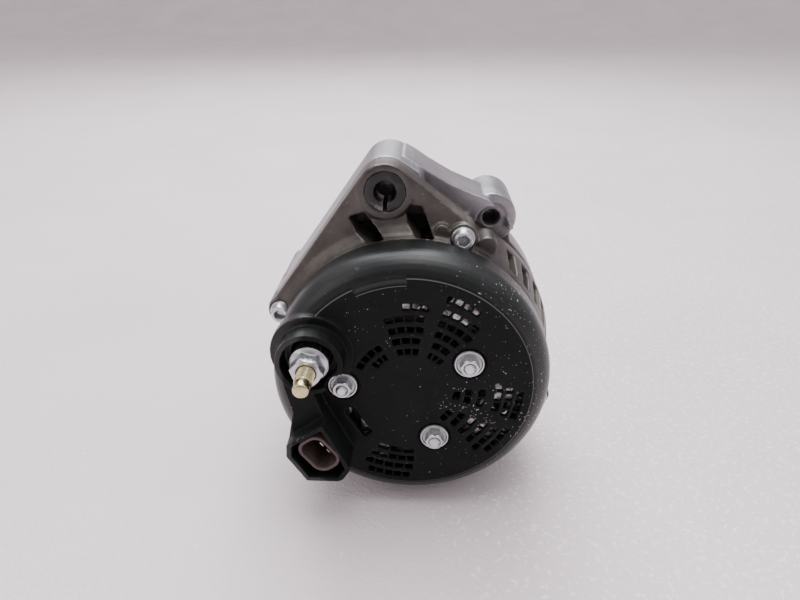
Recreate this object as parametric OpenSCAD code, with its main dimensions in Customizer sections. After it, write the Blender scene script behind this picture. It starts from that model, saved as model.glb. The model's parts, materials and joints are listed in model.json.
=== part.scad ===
// Car alternator with an internal fan, a six-rib pulley and a rear plastic cover.
// The shaft lies along Y. +Y points at the pulley, -Y at the rear cover, +Z at the mounting ear.
// The origin is on the shaft axis, at the middle of the pulley's belt grooves.
// Stations are distances forward of the rear cover's face, and at_face() places them.

/* [Overall] */
// Distance from the rear cover's face to the middle of the belt grooves
belt_to_rear = 116; // [114:0.5:118]
// Distance of the through bolts from the shaft axis
bolt_circle_r = 68; // [67.5:0.1:69]
// Radius of the clearance holes for the through bolts
bolt_hole_r = 2.8; // [2.7:0.1:3]

/* [Rear cover] */
// Radius of the cover's skirt
cover_r = 65.5; // [65:0.1:66]
// Depth of the cover from its face to its rim
cover_depth = 22; // [21.5:0.1:22]
// Wall thickness of the cover
cover_wall = 2.4; // [2:0.1:2.8]
// Radius of the raised round face
cover_face_r = 56; // [55:0.5:57]
// Height by which the face stands above the shoulder
face_step = 0.6; // [0.4:0.1:0.8]
// Radial width of one vent slot
slot_w = 3.3; // [2.8:0.1:3.6]
// Width of the ribs between the cells of one row
slot_rib = 1.1; // [1:0.1:1.6]

/* [Battery post] */
// Sideways place of the battery stud
post_x = -43.8; // [-44:0.1:-43]
// Height of the battery stud above the shaft
post_z = 19; // [18.5:0.1:19.5]
// Radius of the battery stud
post_r = 4; // [4:1:4]
// Outside radius of the shroud round the battery stud
shroud_r = 15; // [14.5:0.1:15.5]
// Height of the shroud above the cover's face
shroud_h = 11; // [9:0.5:12]

/* [Brackets] */
// Radius of the brackets at the stator
barrel_r = 69.5; // [69:0.1:70]
// Station of the rear bracket's front edge
rear_bracket_end = 54; // [53:0.5:55]
// Station of the front bracket's rear edge
front_bracket_start = 62; // [61:0.5:63]
// Station of the front bracket's front face
front_face = 100; // [99:0.5:100]
// Sideways place of the mounting ear's hole
ear_x = -12.5; // [-13:0.1:-12]
// Height of the mounting ear's hole above the shaft
ear_z = 84.1; // [83:0.1:85]
// Radius of the split bush in the ear
bush_r = 9.1; // [9:0.1:9.3]
// Radius of the mounting bolt's hole
ear_hole_r = 5.1; // [5:0.1:5.3]
// Radius of the holes in the three small lugs
lug_hole_r = 4.25; // [4:0.05:4.5]

/* [Stator and rotor] */
// Outside radius of the stator core
stator_r = 64; // [63.5:0.1:64]
// Bore radius of the stator core
stator_bore_r = 50.25; // [50.2:0.05:50.4]
// Number of slots in the stator core
stator_slots = 36; // [24:12:36]
// Outside radius of the claw poles
rotor_r = 49.85; // [49.7:0.05:49.9]
// Number of claws on each pole
claw_count = 6; // [6:1:6]
// Number of blades on each fan
fan_blades = 11; // [9:1:12]

/* [Pulley] */
// Radius of the pulley over its ribs
pulley_r = 28.5; // [28:0.5:30]
// Number of belt grooves
groove_count = 6; // [6:1:6]
// Distance from one groove to the next
groove_pitch = 3.56; // [3.56:0.01:3.56]
// Depth of one groove
groove_depth = 2.6; // [2.4:0.1:2.8]

/* [Hidden] */
$fn = 96;

// Places round the shaft
bolt_angles = [70.5, 159, 250, 341];
cover_stud_places = [[26.4, 14.6], [11.8, -27], [-31, 1.5]];
post = [post_x, post_z];
ear = [ear_x, ear_z];
side_lug = [37.8, 63.4];
low_lugs = [[-41, -62], [41, -62]];
ear_tip_r = 12.7;
boss_r = 6.6;
side_lug_r = 12.5;
side_lug_relief_r = 8;
low_lug_r = 9.5;

// Connector on the regulator, seen from behind
plug_centre = [-41.3, -26.8];
plug_angle = -53;
plug_size = [20, 14.6];
plug_corner_r = 5.8;
plug_wall = 1.7;
plug_rear = -15;
guard_outline = [[-56, -21.5], [-39, -9.5], [-27, -35], [-31.5, -42], [-47.7, -42.2], [-56.4, -28]];
guard_inset = [[-53.6, -22], [-39.5, -12.4], [-29.4, -34.6], [-33, -39.9], [-46.6, -40], [-54, -27.6]];
guard_corner_r = [1, 1.5, 3, 4, 1, 1];
guard_rear = -16;
fairing_rear = -9;
fairing_outline = [[-57.5, 12], [-44, 8], [-40.5, -6], [-39, -10], [-56, -21.5], [-53.2, -8]];

// Stations along the shaft
ear_rear = 30;
ear_split = 42;
ear_front = 77;
groove_end = 50;
side_lug_span = [57, 90];
low_lug_span = [60, 88];
rear_boss_start = 29;
stator_span = [50, 80];
rear_bearing_span = [26, 37];
front_bearing_span = [86, 100];
pulley_span = [104.5, 127.5];
nut_span = [120, 131];
shaft_front = 134;

// ---------------------------------------------------------------- helpers

module at_face() translate([0, -belt_to_rear, 0]) children();

// A flat shape drawn in X and Z, carried from station a to station b
module slab(a, b) translate([0, b, 0]) rotate([90, 0, 0]) linear_extrude(b - a) children();

// A profile of radius and station, turned about the shaft
module turned() rotate([-90, 0, 0]) rotate_extrude() children();

// A round bar or hole along Y at a place p, from station a to station b
module rod(p, r, a, b, fn = 48)
  translate([p[0], b, p[1]]) rotate([90, 0, 0]) cylinder(r = r, h = b - a, $fn = fn);

module ring(r_in, r_out, a, b) turned() translate([r_in, a]) square([r_out - r_in, b - a]);

function polar(r, t) = [r * cos(t), r * sin(t)];
function unit(v) = v / norm(v);
function turn2(v, t) = [v[0] * cos(t) - v[1] * sin(t), v[0] * sin(t) + v[1] * cos(t)];

// Points of the round between the edges a-b and b-c
function fillet(a, b, c, r, steps) =
  let (u = unit(a - b), v = unit(c - b), half = acos(u * v) / 2)
  let (centre = b + unit(u + v) * r / sin(half), start = b + u * r / tan(half) - centre)
  let (side = sign(cross(start, b + v * r / tan(half) - centre)))
  [for (i = [0:steps]) centre + turn2(start, side * (180 - 2 * half) * i / steps)];

// A closed outline with its corners rounded by r, a number or one per corner
function rounded(pts, r, steps = 5) =
  let (n = len(pts))
  [for (i = [0:n - 1])
    each fillet(pts[(i + n - 1) % n], pts[i], pts[(i + 1) % n], is_list(r) ? r[i] : r, steps)];

// A band between two radii from angle t0 to angle t1
function sector(r0, r1, t0, t1, steps = 6) = concat(
  [for (i = [0:steps]) polar(r1, t0 + (t1 - t0) * i / steps)],
  [for (i = [steps:-1:0]) polar(r0, t0 + (t1 - t0) * i / steps)]
);

// Points round a circle of radius r at p, from angle t0 to angle t1
function arc(p, r, t0, t1, steps = 8) = [for (i = [0:steps]) p + polar(r, t0 + (t1 - t0) * i / steps)];

// Direction square to the common tangent of two circles, on the side given by s
function tangent_turn(a, ra, b, rb, s) = atan2(b[1] - a[1], b[0] - a[0]) + s * acos((ra - rb) / norm(b - a));

// Outline round three circles, listed anticlockwise
function wrap3(p, r) =
  let (t = [for (i = [0:2]) tangent_turn(p[i], r[i], p[(i + 1) % 3], r[(i + 1) % 3], -1)])
  let (from = [t[2], t[0], t[1]])
  [for (i = [0:2]) each arc(p[i], r[i], from[i], t[i] < from[i] ? t[i] + 360 : t[i])];

// ---------------------------------------------------------------- rear cover

// Rows of vent slots: radius of the row's middle, first angle, last angle, cells
vent_rows = [
  [20.2, 80, 107, 3], [25.8, 81, 108, 3], [31.4, 80, 108, 4], [37, 81, 108, 4], [42.6, 79, 95, 3],
  [20.2, 46, 67, 3], [25.8, 49, 68, 2], [31.4, 49, 70, 3], [37, 45, 71, 4], [42.6, 47, 71, 4],
  [49.2, 53, 72, 4],
  [21.6, 346, 358, 1], [27, 344, 361, 2], [33, 344, 361, 2], [40.6, 344, 366, 3], [45.6, 342, 363, 4],
  [50.4, 342, 360, 4],
  [22.4, 311, 328, 2], [28.1, 315, 332, 2], [34, 314, 332, 2], [40, 313, 333, 3], [45.6, 312, 333, 4],
  [50.6, 316, 335, 4],
  [36.4, 246, 273, 3], [41.4, 244, 273, 5], [46.6, 243, 272, 5], [51.8, 247, 270, 5],
  [20.2, 122, 144, 3], [25.6, 121, 156, 4]
];

// The ribs inside a row lie this deep under the face
rib_recess = 0.8;

module vent_slots() {
  for (row = vent_rows) {
    rib = slot_rib / row[0] * 180 / PI;
    cell = (row[2] - row[1] + rib) / row[3];
    slab(-1, rib_recess) polygon(sector(row[0] - slot_w / 2, row[0] + slot_w / 2, row[1], row[2], 9));
    for (i = [0:row[3] - 1]) {
      start = row[1] + i * cell;
      slab(-2, cover_wall + 1)
        polygon(sector(row[0] - slot_w / 2, row[0] + slot_w / 2, start, start + cell - rib, 3));
    }
  }
}

// Half section of the cover from its rim to its face, set in by t from the outside
function cover_side(t) = concat(
  [[cover_r - t, cover_depth], [cover_r - 0.2 - t, 11.4]],
  [for (i = [1:7]) [54.4 + (10.8 - t) * cos(12 * i), 11.4 + (10.8 - t) * -sin(12 * i)]]
);

stud_boss_r = 5;
stud_boss_end = 8.5;
nut_pocket_r = 7.9;
nut_seat = 1;
guard_floor = 3.5;
guard_front = 7.6;
shroud_wall = 2.4;
collar_r = 19;
collar_h = 1.6;
shroud_floor = [-1.5, 1];
shroud_notch_floor = -4;
shroud_front = 8.6;
holder_window = [[-31, -13.5], [-27.5, -10.5], [-18, -25], [-22, -28.5]];

module cover_shell() {
  inside = cover_side(cover_wall);
  turned() polygon(concat(cover_side(0), [[0, face_step], [0, cover_wall]], [for (i = [8:-1:0]) inside[i]]));
  turned() square([cover_face_r, cover_wall - 0.4]);
}

module rear_cover() color([0.09, 0.09, 0.1]) at_face() {
  difference() {
    union() {
      cover_shell();
      rod(post, shroud_r, -shroud_h, shroud_front, 96);
      slab(guard_rear, guard_front) polygon(rounded(guard_outline, guard_corner_r, 4));
      slab(fairing_rear, 6) polygon(fairing_outline);
      for (p = cover_stud_places) rod(p, stud_boss_r, 0.8, stud_boss_end);
      rod(post, collar_r, -collar_h, 4, 96);
    }
    slab(-1, face_step) polygon(sector(52.8, cover_face_r + 1, 92, 116.5));
    vent_slots();
    slab(-1, 9) polygon(rounded(holder_window, 1, 3));
    rod(post, shroud_r - shroud_wall, -shroud_h - 1, shroud_floor[0], 96);
    rod(post, 9.3, -2, 10);
    rod(post, shroud_r - shroud_wall, shroud_floor[1], 10, 96);
    slab(-shroud_h - 1, shroud_notch_floor)
      polygon([post, post + polar(24, -62), post + polar(26, -40), post + polar(24, -18)]);
    slab(guard_rear - 1, guard_floor) polygon(rounded(guard_inset, 1, 3));
    translate([plug_centre[0], 0, plug_centre[1]])
      slab(guard_rear - 1, 10) rotate(plug_angle) polygon(rounded(plug_box(0.4), plug_corner_r + 0.4, 5));
    for (p = cover_stud_places) {
      rod(p, nut_pocket_r, -12, nut_seat);
      rod(p, 2.8, 0, 9);
    }
  }
}

function plug_box(grow) =
  let (a = plug_size[0] / 2 + grow, b = plug_size[1] / 2 + grow)
  [[a, b], [-a, b], [-a, -b], [a, -b]];

module cover_studs() color([0.72, 0.72, 0.74]) at_face() {
  for (p = cover_stud_places) {
    rod(p, 2.15, -5.4, -4.6);
    rod(p, 2.5, -4.6, stud_boss_end);
    rod(p, 4, stud_boss_end, 21.9, 6);
    rod(p, 2.5, 21.9, 31);
  }
}

module cover_nuts() color([0.78, 0.78, 0.8]) at_face() {
  for (p = cover_stud_places) {
    difference() {
      union() {
        rod(p, 6.65, -0.2, nut_seat);
        rod(p, 5.2, -0.8, -0.2);
        intersection() {
          rod(p, 4.62, -4.2, -0.8, 6);
          translate([p[0], 0, p[1]]) turned()
            polygon([[0, -4.2], [4, -4.2], [4.62, -3.7], [4.62, 0], [0, 0]]);
        }
      }
      rod(p, 2.53, -5, 2);
    }
  }
}

// ---------------------------------------------------------------- battery post

nut_flange_rear = -9;
nut_rear = nut_flange_rear - 8.2;
nut_hex_front = nut_flange_rear - 2.2;
post_tip = -30;
post_free = [post_tip + 5, nut_rear - 0.5];
post_shank_r = post_r - 0.35;
post_dog_r = post_r - 0.5;

module battery_stud() color([0.78, 0.68, 0.38]) at_face() translate([post_x, 0, post_z]) {
  turned() polygon([
    [0, post_tip], [post_dog_r - 0.5, post_tip], [post_dog_r, post_tip + 0.6], [post_dog_r, post_tip + 4.4],
    [post_r, post_free[0]], [post_r, post_free[1]], [post_shank_r, post_free[1]], [post_shank_r, 12], [0, 12]
  ]);
  turned() translate([0, 12]) square([6.5, 3]);
}

module battery_nut() color([0.72, 0.73, 0.76]) at_face() translate([post_x, 0, post_z]) {
  difference() {
    union() {
      turned() polygon([
        [0, nut_hex_front], [7.4, nut_hex_front], [8.75, nut_hex_front + 1], [8.75, nut_flange_rear],
        [0, nut_flange_rear]
      ]);
      intersection() {
        rod([0, 0], 7.5, nut_rear, nut_hex_front, 6);
        turned() polygon([
          [0, nut_rear], [6.4, nut_rear], [7.5, nut_rear + 0.8], [7.5, nut_hex_front], [0, nut_hex_front]
        ]);
      }
    }
    rod([0, 0], post_shank_r + 0.03, nut_rear - 1, 0);
  }
}

module battery_spacer() color([0.62, 0.6, 0.55]) at_face() translate([post_x, 0, post_z])
  ring(post_shank_r + 0.1, 8.2, nut_flange_rear, 9);

// ---------------------------------------------------------------- regulator and brushes

regulator_outline = [[-52, -12], [-10, -12], [-10, -47], [-28, -48], [-44, -37], [-52, -24]];
regulator_span = [8, 20];
regulator_screw_places = [[-15, -42.5], [-31.5, -17.3], [-17.6, -18.6]];
holder_half = 6.6;
holder_top = -8.9;
holder_floor = -42;
brush_size = [6, 5, 16];
brush_gap = 0.05;
brush_stations = [9.75, 17.75];
brush_back = -23;
spring_floor = -38;
ring_r = 7.2;

module regulator_body() color([0.12, 0.12, 0.13]) at_face() {
  difference() {
    slab(regulator_span[0], regulator_span[1]) polygon(rounded(regulator_outline, 2, 3));
    for (p = regulator_screw_places) rod(p, 2.1, 0, 30);
  }
}

module regulator_plate() color([0.7, 0.71, 0.72]) at_face() {
  difference() {
    slab(regulator_span[0] - 2, regulator_span[0])
      polygon(rounded([[-28, -12.6], [-10.6, -12.6], [-10.6, -46.4], [-24, -46.4], [-24, -20]], 1.2, 3));
    for (p = regulator_screw_places) rod(p, 2.1, 0, 30);
    for (i = [0:4]) slab(0, regulator_span[0] - 1) translate([-22.2, -40 + 4.6 * i]) square([10, 1.4]);
  }
}

module regulator_screws() color([0.7, 0.7, 0.72]) at_face() {
  for (i = [0:2]) {
    p = regulator_screw_places[i];
    head = i == 1 ? regulator_span[0] : regulator_span[0] - 2;
    difference() {
      union() {
        rod(p, 3.4, head - 2.2, head);
        rod(p, 2, head, 25.5);
      }
      rod(p, 1.7, head - 3, head - 1, 6);
    }
  }
}

module at_plug() at_face() translate([plug_centre[0], 0, plug_centre[1]]) children();

module connector_shell() color([0.1, 0.08, 0.08]) at_plug() {
  difference() {
    slab(plug_rear, regulator_span[0]) rotate(plug_angle) polygon(rounded(plug_box(0), plug_corner_r, 5));
    slab(plug_rear - 1, 2.5)
      rotate(plug_angle) polygon(rounded(plug_box(-plug_wall), plug_corner_r - plug_wall, 5));
    for (i = [-1:1]) slab(2, 10) rotate(plug_angle) translate([5 * i - 1.45, -0.45]) square([2.9, 0.9]);
  }
}

module connector_pins() color([0.75, 0.72, 0.6]) at_plug() {
  for (i = [-1:1]) {
    slab(-8, 8) rotate(plug_angle) translate([5 * i - 1.4, -0.4]) square([2.8, 0.8]);
  }
}

module brush_holder() color([0.14, 0.13, 0.12]) at_face() {
  difference() {
    translate([-holder_half, 5, holder_floor]) cube([2 * holder_half, 16.8, holder_top - holder_floor]);
    for (s = brush_stations)
      translate([-brush_size[0] / 2 - brush_gap, s - brush_size[1] / 2 - brush_gap, spring_floor])
        cube([brush_size[0] + 2 * brush_gap, brush_size[1] + 2 * brush_gap, 40]);
    for (s = brush_stations) translate([-0.8, s - 6, spring_floor + 4]) cube([1.6, 4, 22]);
  }
}

module carbon_brush(s) {
  difference() {
    translate([-brush_size[0] / 2, s - brush_size[1] / 2, brush_back])
      cube([brush_size[0], brush_size[1], brush_size[2] + 3]);
    rod([0, 0], ring_r + 0.08, s - 5, s + 5, 96);
  }
}

module brush_rear() color([0.2, 0.2, 0.21]) at_face() carbon_brush(brush_stations[0]);

module brush_front() color([0.2, 0.2, 0.21]) at_face() carbon_brush(brush_stations[1]);

// A round wire of radius w wound at radius r from the height z0 to the height z1
spring_coils = 8;
spring_steps = 10;
spring_sides = 6;
function coil_point(r, w, z0, z1, i, j) =
  let (t = 360 * i / spring_steps, u = 360 * j / spring_sides, rr = r + w * cos(u))
  [rr * cos(t), rr * sin(t), z0 + w + (z1 - z0 - 2 * w) * i / (spring_coils * spring_steps) + w * sin(u)];

module coil_spring(r, w, z0, z1) {
  n = spring_coils * spring_steps;
  k = spring_sides;
  polyhedron(
    points = [for (i = [0:n]) for (j = [0:k - 1]) coil_point(r, w, z0, z1, i, j)],
    faces = concat(
      [[for (j = [0:k - 1]) j]],
      [[for (j = [k - 1:-1:0]) n * k + j]],
      [for (i = [0:n - 1]) for (j = [0:k - 1]) [i * k + j, (i + 1) * k + j, (i + 1) * k + (j + 1) % k]],
      [for (i = [0:n - 1]) for (j = [0:k - 1])
        [i * k + j, (i + 1) * k + (j + 1) % k, i * k + (j + 1) % k]]
    )
  );
}

module brush_spring(s) translate([0, s, 0]) coil_spring(1.95, 0.3, spring_floor + 0.02, brush_back - 0.02);

module brush_spring_rear() color([0.8, 0.8, 0.82]) at_face() brush_spring(brush_stations[0]);

module brush_spring_front() color([0.8, 0.8, 0.82]) at_face() brush_spring(brush_stations[1]);

// ---------------------------------------------------------------- rectifier

diode_circle_r = 46.5;
diode_r = 6.35;
positive_angles = [-42, 3, 48, 93];
negative_angles = [-19.5, 25.5, 70.5, 115.5];
positive_span = [9, 12];
negative_span = [18.6, 21.6];
rectifier_screw_angles = [82, 128, -30];
rectifier_screw_r = 38;

module plate_outline(t0, t1) polygon(sector(36, 57, t0, t1, 24));

module positive_plate() color([0.74, 0.75, 0.76]) at_face() {
  difference() {
    union() {
      slab(positive_span[0], positive_span[1]) plate_outline(-58, 168);
      for (t = [-30, -8, 15, 37, 60, 82, 105, 127])
        slab(5.2, positive_span[0]) rotate(t) translate([52, -0.6]) square([4.6, 1.2]);
    }
    for (t = positive_angles) rod(polar(diode_circle_r, t), diode_r, 0, 30);
    for (t = negative_angles) rod(polar(diode_circle_r, t), 3, 0, 30);
    for (t = rectifier_screw_angles) rod(polar(rectifier_screw_r, t), 3.2, 0, 30);
    rod(post, post_shank_r + 0.1, 0, 30);
  }
}

module negative_plate() color([0.7, 0.71, 0.72]) at_face() {
  difference() {
    slab(negative_span[0], negative_span[1]) plate_outline(-56, 146);
    for (t = negative_angles) rod(polar(diode_circle_r, t), diode_r, 0, 30);
    for (t = rectifier_screw_angles) rod(polar(rectifier_screw_r, t), 2.15, 0, 30);
  }
}

module press_diode(t, base, lead) {
  rod(polar(diode_circle_r, t), diode_r, base[0], base[1]);
  rod(polar(diode_circle_r, t), 4.6, min(base[0], lead[0]), max(base[1], lead[0]));
  rod(polar(diode_circle_r, t), 0.8, min(lead[0], lead[1]), max(lead[0], lead[1]));
}

module positive_diodes() color([0.6, 0.58, 0.55]) at_face() {
  for (t = positive_angles) press_diode(t, [8.2, 12.8], [13.8, 18]);
}

module negative_diodes() color([0.6, 0.58, 0.55]) at_face() {
  for (t = negative_angles) press_diode(t, [17.8, 21.6], [16.8, 12.6]);
}

module terminal_ring() color([0.55, 0.36, 0.24]) at_face() {
  difference() {
    union() {
      slab(12, 18.6) polygon(sector(35.4, 39.4, -54, 144, 24));
      for (t = rectifier_screw_angles) rod(polar(rectifier_screw_r, t), 3.15, 8.6, 18.6);
      for (t = [-31, 14, 59, 104]) slab(13.4, 16.4) polygon(sector(39, 56, t - 2.2, t + 2.2, 2));
    }
    for (t = rectifier_screw_angles) rod(polar(rectifier_screw_r, t), 2.15, 0, 30);
  }
}

module rectifier_screws() color([0.72, 0.72, 0.74]) at_face() {
  for (t = rectifier_screw_angles) {
    p = polar(rectifier_screw_r, t);
    difference() {
      union() {
        rod(p, 3.4, 6.2, 8.6);
        rod(p, 2, 8.6, 26);
      }
      rod(p, 1.6, 6, 7.6, 6);
    }
  }
}

// ---------------------------------------------------------------- brackets

hub_bore_r = 18.7;
front_hub_r = 31.5;
window_pitch = 9;

// First angle and number of the side windows in each run between two bosses
side_window_runs = [[-9, 7], [-46, 3], [-90, 3], [170, 6]];

// A slanted window cut through the wall at angle t, from station a to station b
module side_window(t, a, b, width, lean, r_in, r_out) rotate([0, -t, 0]) translate([r_in, 0, 0])
  rotate([90, 0, 90]) linear_extrude(r_out - r_in)
    polygon(rounded([[a, -width / 2], [b, lean - width / 2], [b, lean + width / 2], [a, width / 2]], 1.1, 2));

// The two windows under the ear: angle at the barrel, angle at the top
ear_windows = [[83.6, 90], [103.6, 109.4]];
ear_bolts = [for (i = [0, 1]) polar(bolt_circle_r, bolt_angles[i])];
foot_boss_r = 7.6;
spot_face_r = 5.7;

module rear_ear_outline()
  polygon(wrap3([ear, ear_bolts[1], ear_bolts[0]], [ear_tip_r, boss_r - 0.5, boss_r - 0.5]));

function bolt_place(i) = polar(bolt_circle_r, bolt_angles[i]);
function bolt_seat(i) = i == 0 ? 27.5 : rear_boss_start;
function boss_end(i) = i < 2 ? ear_split : rear_bracket_end;

module rear_barrel() turned() polygon([
  [9, 22], [64.6, 22], [65.6, 24.5], [67.2, 32], [68.9, 42], [barrel_r, 46], [barrel_r, rear_bracket_end],
  [stator_r, rear_bracket_end], [stator_r, stator_span[0]], [62, stator_span[0]], [61.4, 30], [60, 26],
  [24, 26], [24, 38.5], [hub_bore_r, 38.5], [hub_bore_r, 26], [9, 26]
]);

module rear_bracket() color([0.6, 0.59, 0.6]) at_face() {
  difference() {
    union() {
      difference() {
        union() {
          rear_barrel();
          intersection() {
            slab(22, ear_split) rear_ear_outline();
            turned() polygon([
              [62.5, 24.5], [65.2, 24.5], [66.8, 26.6], [69.8, 28.8], [73.4, ear_rear],
              [120, ear_rear], [120, ear_split], [62.5, ear_split]
            ]);
          }
        }
        for (i = [0, 1, 2, 3, 4, 5, 9, 10, 11])
          slab(21, 27) polygon(sector(28.5, 55.5, 30 * i + 4, 30 * i + 26, 4));
        for (run = side_window_runs)
          for (i = [0:run[1] - 1]) side_window(run[0] + window_pitch * i, 28, 44, 5.4, 2.6, 56, 75);
        for (w = ear_windows) slab(24, 44) polygon(rounded([
          polar(60, w[0] - 3.2), polar(63, w[0] - 3), polar(77.5, w[1] - 2.8),
          polar(78, w[1] + 2.6), polar(70, w[1] + 2), polar(61, w[0] + 1.8)
        ], 1, 2));
      }
      difference() {
        for (i = [0:3])
          rod(bolt_place(i), i == 2 ? foot_boss_r : boss_r, bolt_seat(i), boss_end(i));
        ring(0, 63.2, 20, stator_span[0]);
        ring(0, stator_r + 0.3, stator_span[0] - 0.3, 60);
      }
      for (p = cover_stud_places) rod(p, 6, 21.9, 32);
      for (p = regulator_screw_places) rod(p, 4.6, regulator_span[1], 27);
      for (t = rectifier_screw_angles) rod(polar(rectifier_screw_r, t), 4.6, 21.6, 27);
      rod(polar(68.3, 79), 3.4, 26, 36);
      rod(polar(69, 60.5), 4.6, 27, 40);
      rod(ear, ear_tip_r - 0.2, ear_rear - 0.8, ear_rear);
    }
    rod(ear, bush_r + 0.04, 20, 50, 96);
    for (i = [0:3]) {
      rod(bolt_place(i), bolt_hole_r, 20, 60);
      rod(bolt_place(i), spot_face_r, 20, bolt_seat(i));
    }
    for (p = cover_stud_places) rod(p, 2.53, 20, 40);
    for (p = regulator_screw_places) rod(p, 2.03, 20, 40);
    for (t = rectifier_screw_angles) rod(polar(rectifier_screw_r, t), 2.03, 20, 40);
  }
}

module ear_bush() color([0.1, 0.1, 0.11]) at_face() {
  difference() {
    rod(ear, bush_r, ear_rear - 0.8, ear_split - 0.6, 96);
    rod(ear, ear_hole_r, 20, 50, 96);
    slab(20, 50) translate([ear_x - 0.9, ear_z - 12]) square([1.8, 12]);
  }
}

module front_ear_outline() polygon(concat(
  arc(ear, ear_tip_r + 0.3, 62, 143, 8),
  [[-73.6, 20.5], [-70, 10], [-55, 10], [-45, 45], [0, 62], [24, 62], [28, 75.5], [17.8, 80.6], [7.4, 86.6]]
));

// The wall that runs from the ear down to the side lug
module side_web_outline() polygon([
  [-5, 95.5], [-0.2, 92.9], [7.4, 87.9], [17.8, 81.9], [28.2, 77.4], [36, 74.4], [49, 60], [20, 60], [-5, 70]
]);
ear_core_holes = [
  [[-31, 73], [-24.5, 79.5], [-17, 73], [-22, 71.5]],
  [[-6, 73.5], [2, 80], [14, 73.5], [10, 71.8]]
];

// The web that joins a low lug at p to the barrel at the angle t
module low_lug_web_outline(p, t)
  polygon([p + polar(low_lug_r, t + 90), polar(66, t + 14), polar(66, t - 14), p + polar(low_lug_r, t - 90)]);

module front_barrel() turned() polygon([
  [15, front_face + 2.5], [23.8, front_face + 2.5], [24.6, front_face], [52, front_face], [60, 97.5],
  [66.5, 91], [68.6, 86], [barrel_r, 82], [barrel_r, front_bracket_start], [stator_r, front_bracket_start],
  [stator_r, stator_span[1]], [62.4, stator_span[1]], [62, 88.4], [57, 94.6], [48, 95.5],
  [front_hub_r, 95.5], [front_hub_r, front_bearing_span[0]], [23.5, front_bearing_span[0]],
  [23.5, front_bearing_span[1]], [15, front_bearing_span[1]]
]);

retainer_screw_angles = [45, 135, 225, 315];
retainer_screw_r = 28;

module front_bracket() color([0.63, 0.62, 0.63]) at_face() {
  difference() {
    union() {
      difference() {
        front_barrel();
        for (i = [0:11]) slab(90, 104) polygon(rounded(sector(35, 50, 30 * i + 4, 30 * i + 26, 1), 2, 2));
        for (i = [0:35]) side_window(10 * i + 3, 84.5, 103, 5.6, 0, 52.5, 75);
      }
      difference() {
        union() {
          slab(ear_split, ear_front) front_ear_outline();
          slab(groove_end, ear_front) side_web_outline();
        }
        ring(0, barrel_r - 0.9, 40, 100);
        ring(0, barrel_r + 0.4, 40, rear_bracket_end + 0.5);
        slab(ear_split - 1, groove_end) polygon([[2.5, 91], [32, 79], [25, 67], [4, 82.6]]);
        for (hole = ear_core_holes) slab(groove_end + 2, ear_front + 1) polygon(rounded(hole, 1.6, 3));
      }
      rod(side_lug, side_lug_r, side_lug_span[0] - 0.3, side_lug_span[1], 96);
      slab(front_bracket_start, side_lug_span[1])
        polygon([polar(66, 66), [26, 72], [30, 73], side_lug, [46, 66], polar(66, 40)]);
      for (p = low_lugs) {
        rod(p, low_lug_r, low_lug_span[0], low_lug_span[1]);
        slab(front_bracket_start, low_lug_span[1]) low_lug_web_outline(p, atan2(p[1], p[0]));
      }
      for (t = bolt_angles) rod(polar(bolt_circle_r, t), boss_r, front_bracket_start, 92);
    }
    ring(0, 62, 60, 88);
    ring(0, 60.8, 87, 91);
    ring(0, stator_r, 40, stator_span[1]);
    rod(ear, ear_hole_r + 0.15, 30, 90);
    rod(side_lug, lug_hole_r, side_lug_span[0] - 1, 100);
    rod(side_lug, side_lug_relief_r, groove_end - 1, side_lug_span[0]);
    for (p = low_lugs) rod(p, lug_hole_r, 50, 100);
    for (t = bolt_angles) rod(polar(bolt_circle_r, t), 2.53, 40, 93);
    for (t = retainer_screw_angles) rod(polar(retainer_screw_r, t), 2.1, 80, 110);
    ring(0, 23.5, 80, front_bearing_span[1]);
  }
}

module through_bolts() color([0.75, 0.75, 0.77]) at_face() {
  for (i = [0:3]) {
    seat = bolt_seat(i);
    p = bolt_place(i);
    difference() {
      union() {
        rod(p, 5.3, seat - 1.4, seat);
        rod(p, 4.3, seat - 5, seat - 1.4);
        rod(p, 2.5, seat, 91);
      }
      rod(p, 2.3, seat - 6, seat - 2, 6);
    }
  }
}

// ---------------------------------------------------------------- stator

slot_depth_r = 60.4;

module stator_core() color([0.3, 0.29, 0.29]) at_face() {
  difference() {
    slab(stator_span[0], stator_span[1]) difference() {
      circle(r = stator_r, $fn = 180);
      circle(r = stator_bore_r, $fn = 180);
      for (i = [0:stator_slots - 1]) rotate(i * 360 / stator_slots) {
        translate([stator_bore_r - 1, -1.1]) square([4, 2.2]);
        translate([stator_bore_r + 1.6, -2]) square([slot_depth_r - stator_bore_r - 1.6, 4]);
      }
    }
  }
}

function winding_section(a, b) = rounded([[50.9, a], [60.6, a], [60.6, b], [50.9, b]], 2.6, 3);

module stator_winding() color([0.62, 0.32, 0.16]) at_face() {
  turned() polygon(winding_section(39.4, stator_span[0]));
  turned() polygon(winding_section(stator_span[1], 90.6));
  for (i = [0:stator_slots - 1]) {
    slab(stator_span[0] - 1, stator_span[1] + 1)
      rotate(i * 360 / stator_slots) translate([52.2, -1.6]) square([7.8, 3.2]);
  }
}

// ---------------------------------------------------------------- rotor

core_r = 20;
coil_r = 36.4;
pole_span = [47, 81];
pole_disc = 10;
claw_half = 11;
shaft_r = 9;

module rotor_shaft() color([0.66, 0.66, 0.68]) at_face() {
  difference() {
    turned() polygon([
      [0, 4], [4.6, 4], [5, 4.4], [5, 24], [7.3, 24], [7.5, 24.4], [7.5, 38.5],
      [shaft_r, 38.5], [shaft_r, 86], [8.5, 86], [8.5, 119], [8, 119.5], [8, shaft_front - 1],
      [7.2, shaft_front], [0, shaft_front]
    ]);
    rod([0, 0], 4.62, shaft_front - 8, shaft_front + 1, 6);
  }
}

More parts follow.
